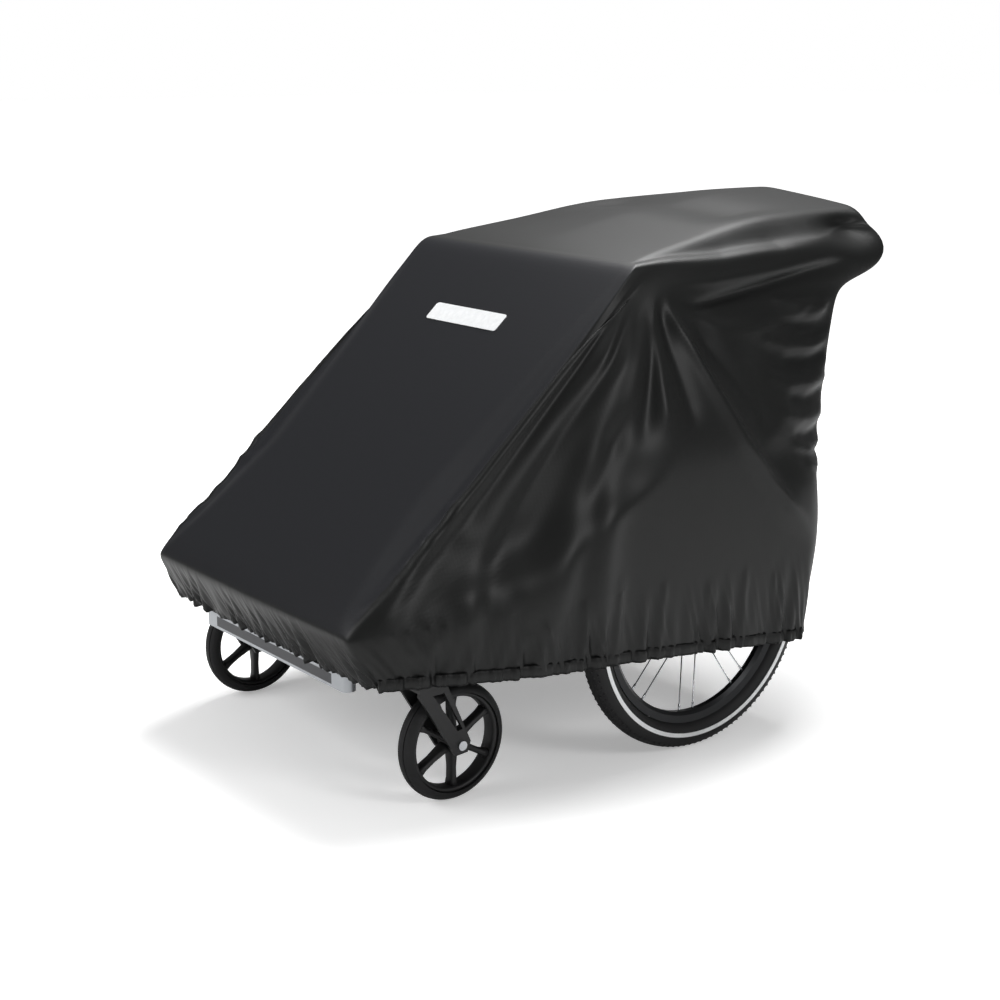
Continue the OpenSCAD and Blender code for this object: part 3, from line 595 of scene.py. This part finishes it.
def fold_height(y, z, line, height, half, sharp, jitter):
    """How far the fold stands at each (y, z)."""
    best = np.full(len(y), 1e9)
    share = np.zeros(len(y))
    line = np.array(line, float) + jitter
    lengths = np.linalg.norm(np.diff(line, axis=0), axis=1)
    start = np.r_[0, np.cumsum(lengths)]
    for k, length in enumerate(lengths):
        d = (line[k + 1] - line[k]) / length
        t = np.clip((y - line[k, 0]) * d[0] + (z - line[k, 1]) * d[1], 0, length)
        gap = np.hypot(y - line[k, 0] - t * d[0], z - line[k, 1] - t * d[1])
        nearer = gap < best
        best = np.where(nearer, gap, best)
        share = np.where(nearer, (start[k] + t) / start[-1], share)
    widening = 0.6 + 0.8 * share
    across = best / (half * widening)
    profile = (1 - sharp) * np.exp(-across ** 2) + sharp * np.exp(-np.sqrt(across ** 2 + 0.04) * 1.5)
    ends = np.clip(share / 0.22, 0, 1) * np.clip((1 - share) / 0.22, 0, 1)
    return height * profile * ends * ends * (3 - 2 * ends)


# %% Raise the folds
def folded(values, direction):
    """The cover with the listed folds; the far side has the same ones, nudged by a fixed seed."""
    out = values.copy()
    wall = np.arange(len(values)) < n_wall
    for side in (1, -1):
        rng = np.random.default_rng(11)
        chosen = wall & (values[:, 0] * side > half_w * 0.88)
        y, z = values[chosen, 1], values[chosen, 2]
        total = np.zeros(len(y))
        for line, height, half_width, sharp in SIDE_FOLDS:
            nudge = np.zeros((len(line), 2)) if side > 0 else rng.normal(0, 9, (len(line), 2))
            total += fold_height(y, z, line, height, half_width, sharp, nudge)
        fade = np.clip((np.abs(values[chosen, 0]) - half_w * 0.93) / 18, 0, 1)
        out[chosen] += direction[chosen] * (total * fade)[:, None]
    return out


points = folded(points, normals)
points = smoothed(points, 1, is_hem_row)
print("folds a side:", len(SIDE_FOLDS))

# %% [markdown]
# ## Gathers over the elastic
# The elastic is a third shorter than the cloth, so the last hand's breadth puckers into small
# upright folds. They are strongest at the hem and die out at the crease.


# %% Gathers
def wander(position, spacing, seed):
    """A smooth wave whose crests come about every spacing, never quite evenly."""
    rng = np.random.default_rng(seed)
    total = np.zeros_like(position)
    for share in (0.62, 0.8, 1.0, 1.3, 1.7):
        phase = rng.uniform(0, 2 * math.pi)
        total += np.sin(position * 2 * math.pi / (spacing * share) + phase) / share ** 0.2
    return total / 2.4


hem_line = points[:wide]
hem_steps = np.linalg.norm(np.roll(hem_line, -1, 0) - hem_line, axis=1)
hem_arc = np.r_[0, np.cumsum(hem_steps)[:-1]]
hem_length = hem_steps.sum()


def closed_wander(position, spacing, seed):
    """The same wave, turned to meet itself at the end of the hem."""
    blend = np.clip((position - (hem_length - 60)) / 60, 0, 1)
    return (wander(position, spacing, seed) * (1 - blend)
        + wander(position - hem_length, spacing, seed) * blend)


def gathered(values, direction):
    """The skirt with its puckers."""
    out = values.copy()
    for i in range(SKIRT_ROWS):
        up = i / SKIRT_ROWS
        here = slice(i * wide, (i + 1) * wide)
        lean = 30 * up
        fine = closed_wander(hem_arc + lean, 19, 3)
        broad = closed_wander(hem_arc - lean * 0.6, 52, 5)
        strength = np.clip(1 + 0.5 * closed_wander(hem_arc, 170, 8), 0.4, 1.6)
        shift = 2.6 * fine * (1 - up) ** 1.6 + 3.6 * broad * (1 - up) ** 0.8 * min(1, 1.4 * (1 - up))
        out[here] += direction[here] * (shift * strength)[:, None]
    return out


points = gathered(points, normals)
print("hem length in mm:", round(float(hem_length)))

# %% [markdown]
# ## The cover as an object
# The net becomes one mesh. Its UV map holds metres along the cloth, so the weave follows the
# surface, and an attribute marks the stiffer front panel, which is a shade bluer of its own and a
# shade lighter as painted light from the front.

# %% Make the cover
cover = mesh_piece("storage_cover", points * MM, faces, coated_polyester)
side_way = np.where(np.abs(normals[:, 0]) > 0.6, points[:, 1], points[:, 0])
up_way = np.where(normals[:, 2] > 0.75, points[:, 1], points[:, 2])
set_cloth_map(cover.data, np.stack([side_way, up_way], axis=1) * MM)
# Mask of the forward-facing front panel for the lighter, bluer base: partly its own tone, partly painted
# front light
front_tone_and_light_mask = ((np.abs(points[:, 0]) < half_w + 2) & (normals[:, 1] < -0.4)
    & (points[:, 2] > crease_z - 4) & (points[:, 2] < roof_z - 2)).astype(float)
front_tone_and_light = cover.data.attributes.new("front_panel_tone_and_light", "FLOAT", "POINT")
front_tone_and_light.data.foreach_set("value", front_tone_and_light_mask)
print("cover triangles:", sum(len(p.vertices) - 2 for p in cover.data.polygons))

# %% [markdown]
# ## The hem's casing
# The elastic runs in a folded casing, stitched along its top. Gathered on the elastic it becomes a
# little ruffled tube. It is swept round the hem line with a flat oval section, and its ruffles share
# the wave of the gathers above, so the two meet.


# %% Sweep the casing
# The casing's section, as (outwards, upwards) from the hem line in mm
HEM_SECTION = [(0.4, 22.0), (2.2, 19.5), (3.0, 12.0), (3.0, 5.0), (1.2, 0.5), (-1.8, 3.0),
    (-2.2, 11.0), (-1.4, 18.5)]


def casing():
    """A flattened tube round the hem."""
    low = points[:wide]
    out_way = normals[:wide].copy()
    out_way[:, 2] = 0
    out_way /= np.linalg.norm(out_way, axis=1, keepdims=True)
    ruffle = closed_wander(hem_arc, 9, 21)
    droop = closed_wander(hem_arc, 31, 22)
    rings_of = []
    for out, up in HEM_SECTION:
        swell = 1 + 0.15 * ruffle
        ring_points = low + out_way * (out * swell + 0.5 * ruffle)[:, None]
        ring_points[:, 2] += up + 0.6 * droop
        rings_of.append(ring_points)
    all_points = np.stack(rings_of, axis=1).reshape(-1, 3)
    k = len(HEM_SECTION)
    quads = []
    for j in range(wide):
        nxt = (j + 1) % wide
        for s in range(k):
            t = (s + 1) % k
            quads.append((j * k + s, j * k + t, nxt * k + t, nxt * k + s))
    return all_points, quads


hem_points, hem_faces = casing()
hem = mesh_piece("elastic_hem", hem_points * MM, hem_faces, coated_polyester)
hem_arcs = np.repeat(hem_arc, len(HEM_SECTION))
set_cloth_map(hem.data, np.stack([hem_arcs, hem_points[:, 2]], axis=1) * MM)
print("hem triangles:", 2 * len(hem.data.polygons))
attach(cover, "cover")
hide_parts("cover_front", "cover_roof", "cover_side_left", "cover_side_right", "cover_rear")
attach(hem, "cover")
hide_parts("cover_hem")

# %% [markdown]
# ## A reflective patch
# The front panel carries a plain strip of reflective film for cars' headlights, heat-bonded to the
# cloth. It is a thin plate with rounded corners, laid a hair above the panel's slope.

# %% Patch on the front panel
PATCH_MIDDLE = (0, 728)
PATCH_SIZE = (205, 38)


def patch_outline(width, height, radius, steps=6):
    """A rounded rectangle about the origin."""
    outline = []
    for corner in range(4):
        cx = (width / 2 - radius) * (1 if corner in (0, 3) else -1)
        cy = (height / 2 - radius) * (1 if corner < 2 else -1)
        for k in range(steps + 1):
            angle = math.pi / 2 * (corner + k / steps)
            outline.append((cx + radius * math.cos(angle), cy + radius * math.sin(angle)))
    return outline


panel_up = np.array([0, slope_y(800) - slope_y(700), 100])
panel_up = panel_up / np.linalg.norm(panel_up)
panel_out = np.array([0, -panel_up[2], panel_up[1]])
panel_middle = np.array([PATCH_MIDDLE[0], slope_y(PATCH_MIDDLE[1]), PATCH_MIDDLE[1]])
patch_points = []
for lift in (1.1, 0.2):
    for across, upward in patch_outline(*PATCH_SIZE, 6):
        patch_points.append(panel_middle + [across, 0, 0] + panel_up * upward + panel_out * lift)
count = len(patch_points) // 2
patch_faces = [tuple(range(count)), tuple(range(2 * count - 1, count - 1, -1))]
patch_faces += [(k + count, (k + 1) % count + count, (k + 1) % count, k) for k in range(count)]
patch = mesh_piece("reflective_patch", np.array(patch_points) * MM, patch_faces, reflective, False)
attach(patch, "cover")
print("patch thickness in mm: 0.9")

# %% [markdown]
# ## What repeats
# Spokes, tyre blocks and stitches are one small shape set out many times. Two Geometry Nodes trees
# do it: one turns copies of a shape about an axle, the other sets stitches along a line. A change of
# a count or a pitch then changes them all, as a jig does in a workshop.


# %% Two trees
def node_tree(name, sizes):
    """An empty tree with its named inputs."""
    tree = bpy.data.node_groups.new(name, "GeometryNodeTree")
    tree.interface.new_socket("Geometry", in_out="INPUT", socket_type="NodeSocketGeometry")
    tree.interface.new_socket("Geometry", in_out="OUTPUT", socket_type="NodeSocketGeometry")
    for label, kind in sizes.items():
        tree.interface.new_socket(label, in_out="INPUT", socket_type="NodeSocket" + kind)
    return tree, add_node(tree, "NodeGroupInput").outputs


def ended(tree, start, instances):
    """Realise the copies, give them their material, and end the tree."""
    real = add_node(tree, "GeometryNodeRealizeInstances", {}, {0: instances})
    dressed = add_node(tree, "GeometryNodeSetMaterial", {},
        {"Geometry": real.outputs[0], "Material": start["Material"]})
    add_node(tree, "NodeGroupOutput", {}, {0: dressed.outputs[0]})
    return tree


def turned_tree():
    """Copies of the input shape, turned about an axle along X through Centre."""
    tree, start = node_tree("turned_about_axle",
        {"Count": "Int", "Centre": "Vector", "Material": "Material"})
    line = add_node(tree, "GeometryNodeMeshLine", {"Offset": (0, 0, 0)},
        {"Count": start["Count"], "Start Location": start["Centre"]})
    step = add_node(tree, "ShaderNodeMath", {"operation": "DIVIDE", 0: 2 * math.pi},
        {1: start["Count"]})
    angle = add_node(tree, "ShaderNodeMath", {"operation": "MULTIPLY"},
        {0: step.outputs[0], 1: add_node(tree, "GeometryNodeInputIndex").outputs[0]})
    turn = add_node(tree, "ShaderNodeCombineXYZ", {}, {"X": angle.outputs[0]})
    copies = add_node(tree, "GeometryNodeInstanceOnPoints", {}, {"Points": line.outputs[0],
        "Instance": start["Geometry"], "Rotation": turn.outputs[0]})
    return ended(tree, start, copies.outputs[0])


def stitch_tree():
    """Stitches of a length and thickness, a pitch apart along the input's edges."""
    tree, start = node_tree("stitches_along_line",
        {"Pitch": "Float", "Length": "Float", "Thickness": "Float", "Material": "Material"})
    curve = add_node(tree, "GeometryNodeMeshToCurve", {}, {0: start["Geometry"]})
    places = add_node(tree, "GeometryNodeResampleCurve", {"mode": "LENGTH"},
        {"Curve": curve.outputs[0], "Length": start["Pitch"]})
    size = add_node(tree, "ShaderNodeCombineXYZ", {},
        {"X": start["Thickness"], "Y": start["Thickness"], "Z": start["Length"]})
    thread = add_node(tree, "GeometryNodeMeshCube", {}, {"Size": size.outputs[0]})
    way = add_node(tree, "FunctionNodeAlignRotationToVector", {"axis": "Z"},
        {"Vector": add_node(tree, "GeometryNodeInputTangent").outputs[0]})
    copies = add_node(tree, "GeometryNodeInstanceOnPoints", {}, {"Points": places.outputs[0],
        "Instance": thread.outputs[0], "Rotation": way.outputs[0]})
    return ended(tree, start, copies.outputs[0])


TURNED, STITCHES = turned_tree(), stitch_tree()


def grown(piece, tree, inputs):
    """The piece replaced by what the tree makes of it, as a plain mesh."""
    modifier = piece.modifiers.new("grow", "NODES")
    modifier.node_group = tree
    for item in tree.interface.items_tree:
        if item.name in inputs:
            modifier[item.identifier] = inputs[item.name]
    graph = bpy.context.evaluated_depsgraph_get()
    mesh = bpy.data.meshes.new_from_object(piece.evaluated_get(graph))
    piece.modifiers.clear()
    piece.data = mesh
    return piece


print("trees:", TURNED.name, STITCHES.name)


# %% [markdown]
# ## Spokes and tyre blocks
# Each rear wheel has nine pairs of steel spokes. A spoke runs from the hub's flange to a nipple at
# the rim, and is bent from wire and threaded at its end. The tyre's blocks are moulded with it, and
# stand only on its shoulders, so the rolling radius is the frame's.


# %% Shapes about an axle
def skin(rows, sides):
    """Faces over rows of points, each a ring of that many sides, with both ends closed."""
    quads = [((k - 1) * sides + s, (k - 1) * sides + (s + 1) % sides, k * sides + (s + 1) % sides,
        k * sides + s) for k in range(1, rows) for s in range(sides)]
    return quads + [tuple(range(sides - 1, -1, -1)), tuple((rows - 1) * sides + s for s in range(sides))]


def rod(a, b, radii, sides=8):
    """Points and faces of a round rod from a to b, its radius following radii, both ends closed."""
    a, b = np.array(a, float), np.array(b, float)
    d = (b - a) / np.linalg.norm(b - a)
    u = np.cross(d, [1, 0, 0] if abs(d[0]) < 0.9 else [0, 1, 0])
    u /= np.linalg.norm(u)
    v = np.cross(d, u)
    spots = []
    for share, radius in radii:
        for s in range(sides):
            turn = 2 * math.pi * s / sides
            spots.append(a + (b - a) * share + radius * (math.cos(turn) * u + math.sin(turn) * v))
    return spots, skin(len(radii), sides)


def joined(*shapes):
    """Several (points, faces) as one."""
    spots, quads = [], []
    for shape_points, shape_faces in shapes:
        quads += [tuple(i + len(spots) for i in face) for face in shape_faces]
        spots += list(shape_points)
    return np.array(spots), quads


def middle_of(name):
    """The middle of a frame node's box, in mm."""
    low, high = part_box(name)
    return [(low[i] + high[i]) / 2 / MM for i in range(3)]


def around(name, shape, count, centre, material, body):
    """Copies of a shape about an axle, riding its body."""
    piece = mesh_piece(name, shape[0] * MM, shape[1], material)
    grown(piece, TURNED, {"Count": count, "Centre": [c * MM for c in centre], "Material": material})
    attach(piece, body)
    return piece


SPOKE_PAIRS = 9
for side, name in ((1, "left"), (-1, "right")):
    wheel_x = middle_of("tyre_" + name)[0]
    centre = (wheel_x, axle_y, wheel_r)
    pair = []
    for lean in (-1, 1):
        inner, outer = math.radians(-94.6 + lean * 15), math.radians(-94.6 + lean * 5)
        foot = (side * (lean * 9 - 8), 27 * math.cos(inner), 27 * math.sin(inner))
        tip = (0, 186.5 * math.cos(outer), 186.5 * math.sin(outer))
        pair.append(rod(foot, tip, [(0, 1.1), (0.92, 1.1), (0.925, 2.0), (0.99, 2.0), (1, 1.5)]))
    spokes = around("wheel_spokes_" + name, joined(*pair), SPOKE_PAIRS, centre, bright_steel,
        "rear_wheel_" + name)
    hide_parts("spokes_" + name)
    blocks = []
    for x in (-16, -9, 9, 16):
        reach = wheel_r - 23.5 + math.sqrt(23.5 ** 2 - x * x)
        turn = math.radians(1.0 if abs(x) > 12 else 0)
        at = (x, (reach - 1.5) * math.sin(turn), (reach - 1.5) * math.cos(turn))
        top = (x, (reach + 0.2) * math.sin(turn), (reach + 0.2) * math.cos(turn))
        blocks.append(rod(at, top, [(0, 3.2), (1, 2.7)], 4))
    around("tyre_blocks_" + name, joined(*blocks), 120, centre, tyre_rubber,
        "rear_wheel_" + name)
    print(spokes.name, len(spokes.data.polygons), "faces")

# %% [markdown]
# ## Caster wheels
# Each caster wheel is one moulding of glass-filled nylon: a deep rim, a hub, and six spokes that
# taper outwards so that the mould opens and the arm stays stiff. The rim and hub are turned shapes.


# %% Turned rims, tapered arms
def turned(profile, steps=72):
    """A closed ring about X from (x, radius) points, listed anticlockwise."""
    spots = [(x, r * math.cos(2 * math.pi * k / steps), r * math.sin(2 * math.pi * k / steps))
        for k in range(steps) for x, r in profile]
    n = len(profile)
    return spots, [(k * n + i, k * n + (i + 1) % n, (k + 1) % steps * n + (i + 1) % n,
        (k + 1) % steps * n + i) for k in range(steps) for i in range(n)]


def arm():
    """One tapered, rounded spoke from the hub to the rim, deepest at the hub."""
    spots, sides = [], 12
    stations = [(12, 7.5, 13), (22, 6.4, 12), (45, 5.2, 10), (65, 5.4, 10.5), (78, 8.0, 12)]
    for r, half_wide, half_deep in stations:
        for s in range(sides):
            c, d = math.cos(2 * math.pi * s / sides), math.sin(2 * math.pi * s / sides)
            spots.append((half_deep * math.copysign(abs(c) ** 0.6, c),
                half_wide * math.copysign(abs(d) ** 0.6, d), r))
    return np.array(spots), skin(len(stations), sides)


for name in ("left", "right"):
    centre = middle_of("caster_tyre_" + name)
    rim_ring = turned([(-15, 83.5), (-15, 80), (-13.5, 77.5), (-9, 76), (9, 76), (13.5, 77.5),
        (15, 80), (15, 83.5)])
    boss = turned([(-22.3, 5.2), (-22.3, 12), (-20, 14), (-10, 15.5), (10, 15.5), (20, 14), (22.3, 12),
        (22.3, 5.2)])
    spots, quads = joined(rim_ring, boss)
    rim = mesh_piece("caster_rim_ring_" + name, (spots + centre) * MM, quads, moulded_nylon)
    repaired = bmesh.new()
    repaired.from_mesh(rim.data)
    bmesh.ops.recalc_face_normals(repaired, faces=repaired.faces)
    repaired.to_mesh(rim.data)
    repaired.free()
    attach(rim, "caster_wheel_" + name)
    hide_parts("caster_rim_" + name)
    arms = around("caster_arms_" + name, arm(), 6, centre, moulded_nylon,
        "caster_wheel_" + name)
    print(rim.name, "and", arms.name, len(arms.data.polygons), "faces")

# %% [markdown]
# ## Stitches round the hem
# The casing is closed by one row of lockstitch, 3.5 mm a stitch. A sewing machine's pitch is even
# along the cloth, so the stitches are set by length along the finished hem.

# %% Stitches
stitch_line = hem_points.reshape(wide, len(HEM_SECTION), 3)[:, 1] + normals[:wide] * [1, 1, 0] * 0.3
stitches = bpy.data.objects.new("hem_stitches", bpy.data.meshes.new("hem_stitches"))
stitches.data.from_pydata([tuple(p * MM) for p in stitch_line],
    [(k, (k + 1) % wide) for k in range(wide)], [])
bpy.context.scene.collection.objects.link(stitches)
grown(stitches, STITCHES, {"Pitch": 3.5 * MM, "Length": 2.6 * MM, "Thickness": 0.5 * MM,
    "Material": harness_webbing})
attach(stitches, "cover")
print("stitches:", len(stitches.data.polygons) // 6)

# %% [markdown]
# ## Seats
# The bench and the two back pads are foam cut flat and pulled into a sewn case, so their faces
# crown and their sides pull in between the corners. Pressure inside a cloth skin gives that shape.
# Each pad starts a little smaller than its place in the frame, and no point may move far.


# %% Pads under pressure
def pad(name, node, body, shrink_mm, cap_mm):
    """A padded copy of a frame node: remeshed, blown up a little, and eased."""
    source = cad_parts[node]
    mesh = source.data.copy()
    piece = bpy.data.objects.new(name, mesh)
    bpy.context.scene.collection.objects.link(piece)
    work = bmesh.new()
    work.from_mesh(mesh)
    bmesh.ops.remove_doubles(work, verts=work.verts, dist=0.01 * MM)
    work.to_mesh(mesh)
    work.free()
    remesh = piece.modifiers.new("remesh", "REMESH")
    remesh.mode = "VOXEL"
    remesh.voxel_size = 8 * MM
    graph = bpy.context.evaluated_depsgraph_get()
    mesh = bpy.data.meshes.new_from_object(piece.evaluated_get(graph))
    piece.modifiers.clear()
    piece.data = mesh
    count = len(mesh.vertices)
    start = np.zeros(count * 3)
    mesh.vertices.foreach_get("co", start)
    start = start.reshape(-1, 3)
    way = np.zeros(count * 3)
    mesh.vertices.foreach_get("normal", way)
    start = start - way.reshape(-1, 3) * shrink_mm * MM
    mesh.vertices.foreach_set("co", start.ravel())
    cloth = piece.modifiers.new("cloth", "CLOTH")
    cloth.settings.use_pressure = True
    cloth.settings.uniform_pressure_force = 4
    cloth.settings.effector_weights.gravity = 0
    cloth.settings.quality = 4
    for step in range(1, 13):
        bpy.context.scene.frame_set(step)
    graph = bpy.context.evaluated_depsgraph_get()
    blown = np.zeros(count * 3)
    piece.evaluated_get(graph).data.vertices.foreach_get("co", blown)
    move = blown.reshape(-1, 3) - start
    far = np.linalg.norm(move, axis=1, keepdims=True)
    move *= np.minimum(1, cap_mm * MM / np.maximum(far, 1e-9))
    piece.modifiers.clear()
    bpy.context.scene.frame_set(1)
    mesh.vertices.foreach_set("co", (start + move).ravel())
    mesh.update()
    mesh.materials.clear()
    mesh.materials.append(seat_polyester)
    mesh.polygons.foreach_set("use_smooth", [True] * len(mesh.polygons))
    now = np.zeros(count * 3)
    mesh.vertices.foreach_get("co", now)
    now = now.reshape(-1, 3)
    set_cloth_map(mesh, np.stack([now[:, 0], now[:, 1] + now[:, 2]], 1))
    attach(piece, body)
    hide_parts(node)
    print(name, len(mesh.polygons), "faces")
    return piece


pad("bench_cushion", "seat_bench", "chassis", 2.5, 5)
pad("back_cushions", "back_pads", "upper_frame", 3.5, 6)

# %% [markdown]
# ## Finishes for the carried-over pieces
# The frame's own pieces that stay get the finishes above, by name. Laid flat, the cover's panels open
# out like a cross round the roof: its length runs from the hem over the front panel, the roof and the
# rear panel to the hem again, its width over the roof and down both sides, and its area is less than
# that rectangle, because the cross has no cloth in its corners.


# %% Give the carried-over CAD pieces their finishes
FINISHES = {
    tyre_rubber: ["tyre_left", "tyre_right", "caster_tyre_left", "caster_tyre_right"],
    black_anodised: ["rim_left", "rim_right", "hub_left", "hub_right"],
    clear_anodised: ["bumper_bar", "bumper_brackets"],
    powder_coat: ["base_rail_left", "base_rail_right", "axle_tube", "nose_hoop", "brake_shaft",
        "rear_hoop", "front_hoop", "roof_rails", "handlebar_tube"],
    moulded_nylon: ["axle_receivers", "hinge_brackets", "caster_sockets", "hitch_receiver",
        "hinge_knuckles", "handle_hubs", "fork_left", "fork_right", "caster_rim_left",
        "caster_rim_right", "harness_buckles", "button_left", "button_right"],
    grey_abs: ["bumper_insert", "floor_pan"],
    bright_steel: ["hinge_pins", "frame_screws", "brake_pin_left", "brake_pin_right",
        "axle_left", "axle_right", "stem_left", "stem_right", "caster_bolt_left",
        "caster_bolt_right", "spokes_left", "spokes_right"],
    red_nylon: ["brake_pedal"],
    grip_foam: ["handlebar_grip"],
    reflective: ["stripe_left", "stripe_right"],
    seat_polyester: ["seat_bench", "seat_back", "back_pads"],
    harness_webbing: ["harness_straps"]}
for finish, names in FINISHES.items():
    for name in names:
        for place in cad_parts[name].material_slots:
            place.material = finish
print("finished nodes:", sum(len(names) for names in FINISHES.values()))

# %% [markdown]
# ## Stage
# A pale floor, a bright even backdrop, and three large soft lights: one over the roof, one for the
# front panel, and a smaller one at the side that draws the folds. The floor and the backdrop glow
# fully only where they are seen directly, so that they don't wash out the dark cloth.

# %% Floor, world and lights
floor = mesh_piece("floor", [(-40, -40, 0), (40, -40, 0), (40, 40, 0), (-40, 40, 0)], [(0, 1, 2, 3)])
floor_paint, floor_tree, floor_shader = shaded("floor_paint", {"Base Color": colour("#f6f6f6"),
    "Roughness": 0.9, "Specular IOR Level": 0.05, "Emission Color": colour("#ffffff")})
floor_place = add_node(floor_tree, "ShaderNodeTexCoord").outputs["Object"]
floor_reach = add_node(floor_tree, "ShaderNodeVectorMath", {"operation": "LENGTH"}, {0: floor_place})
floor_glow = add_node(floor_tree, "ShaderNodeMapRange",
    {"From Min": 0.5, "From Max": 2.6, "To Min": 0.34, "To Max": 1.0},
    {"Value": floor_reach.outputs["Value"]})
floor_seen = add_node(floor_tree, "ShaderNodeMapRange", {"To Min": 0.06, "To Max": 1.0},
    {"Value": add_node(floor_tree, "ShaderNodeLightPath").outputs["Is Camera Ray"]})
floor_light = add_node(floor_tree, "ShaderNodeMath", {"operation": "MULTIPLY"},
    {0: floor_glow.outputs["Result"], 1: floor_seen.outputs["Result"]})
floor_tree.links.new(floor_light.outputs[0], floor_shader.inputs["Emission Strength"])
floor.data.materials.append(floor_paint)
world = bpy.data.worlds.new("studio")
world.use_nodes = True
bpy.context.scene.world = world
backdrop = world.node_tree.nodes["Background"]
backdrop.inputs["Color"].default_value = colour("#ffffff")
seen = add_node(world.node_tree, "ShaderNodeLightPath").outputs["Is Camera Ray"]
glow = add_node(world.node_tree, "ShaderNodeMapRange", {"To Min": 0.2, "To Max": 1.0}, {"Value": seen})
world.node_tree.links.new(glow.outputs["Result"], backdrop.inputs["Strength"])


def soft_light(name, place, target, size, watts):
    """A square softbox aimed at a point."""
    lamp = bpy.data.objects.new(name, bpy.data.lights.new(name, "AREA"))
    lamp.data.size = size
    lamp.data.energy = watts
    lamp.location = place
    lamp.rotation_euler = (Vector(target) - Vector(place)).to_track_quat("-Z", "Y").to_euler()
    bpy.context.scene.collection.objects.link(lamp)
    return lamp


soft_light("over_roof", (-0.6, 0.9, 3.2), (-0.1, -0.1, 0.5), 1.8, 150)
soft_light("front_fill", (-0.8, -3.4, 2.6), (0, -0.2, 0.5), 2.0, 60)
soft_light("side_key", (3.6, 0.4, 2.2), (0.2, 0.1, 0.7), 1.1, 36)
bpy.context.scene.view_settings.view_transform = "Standard"
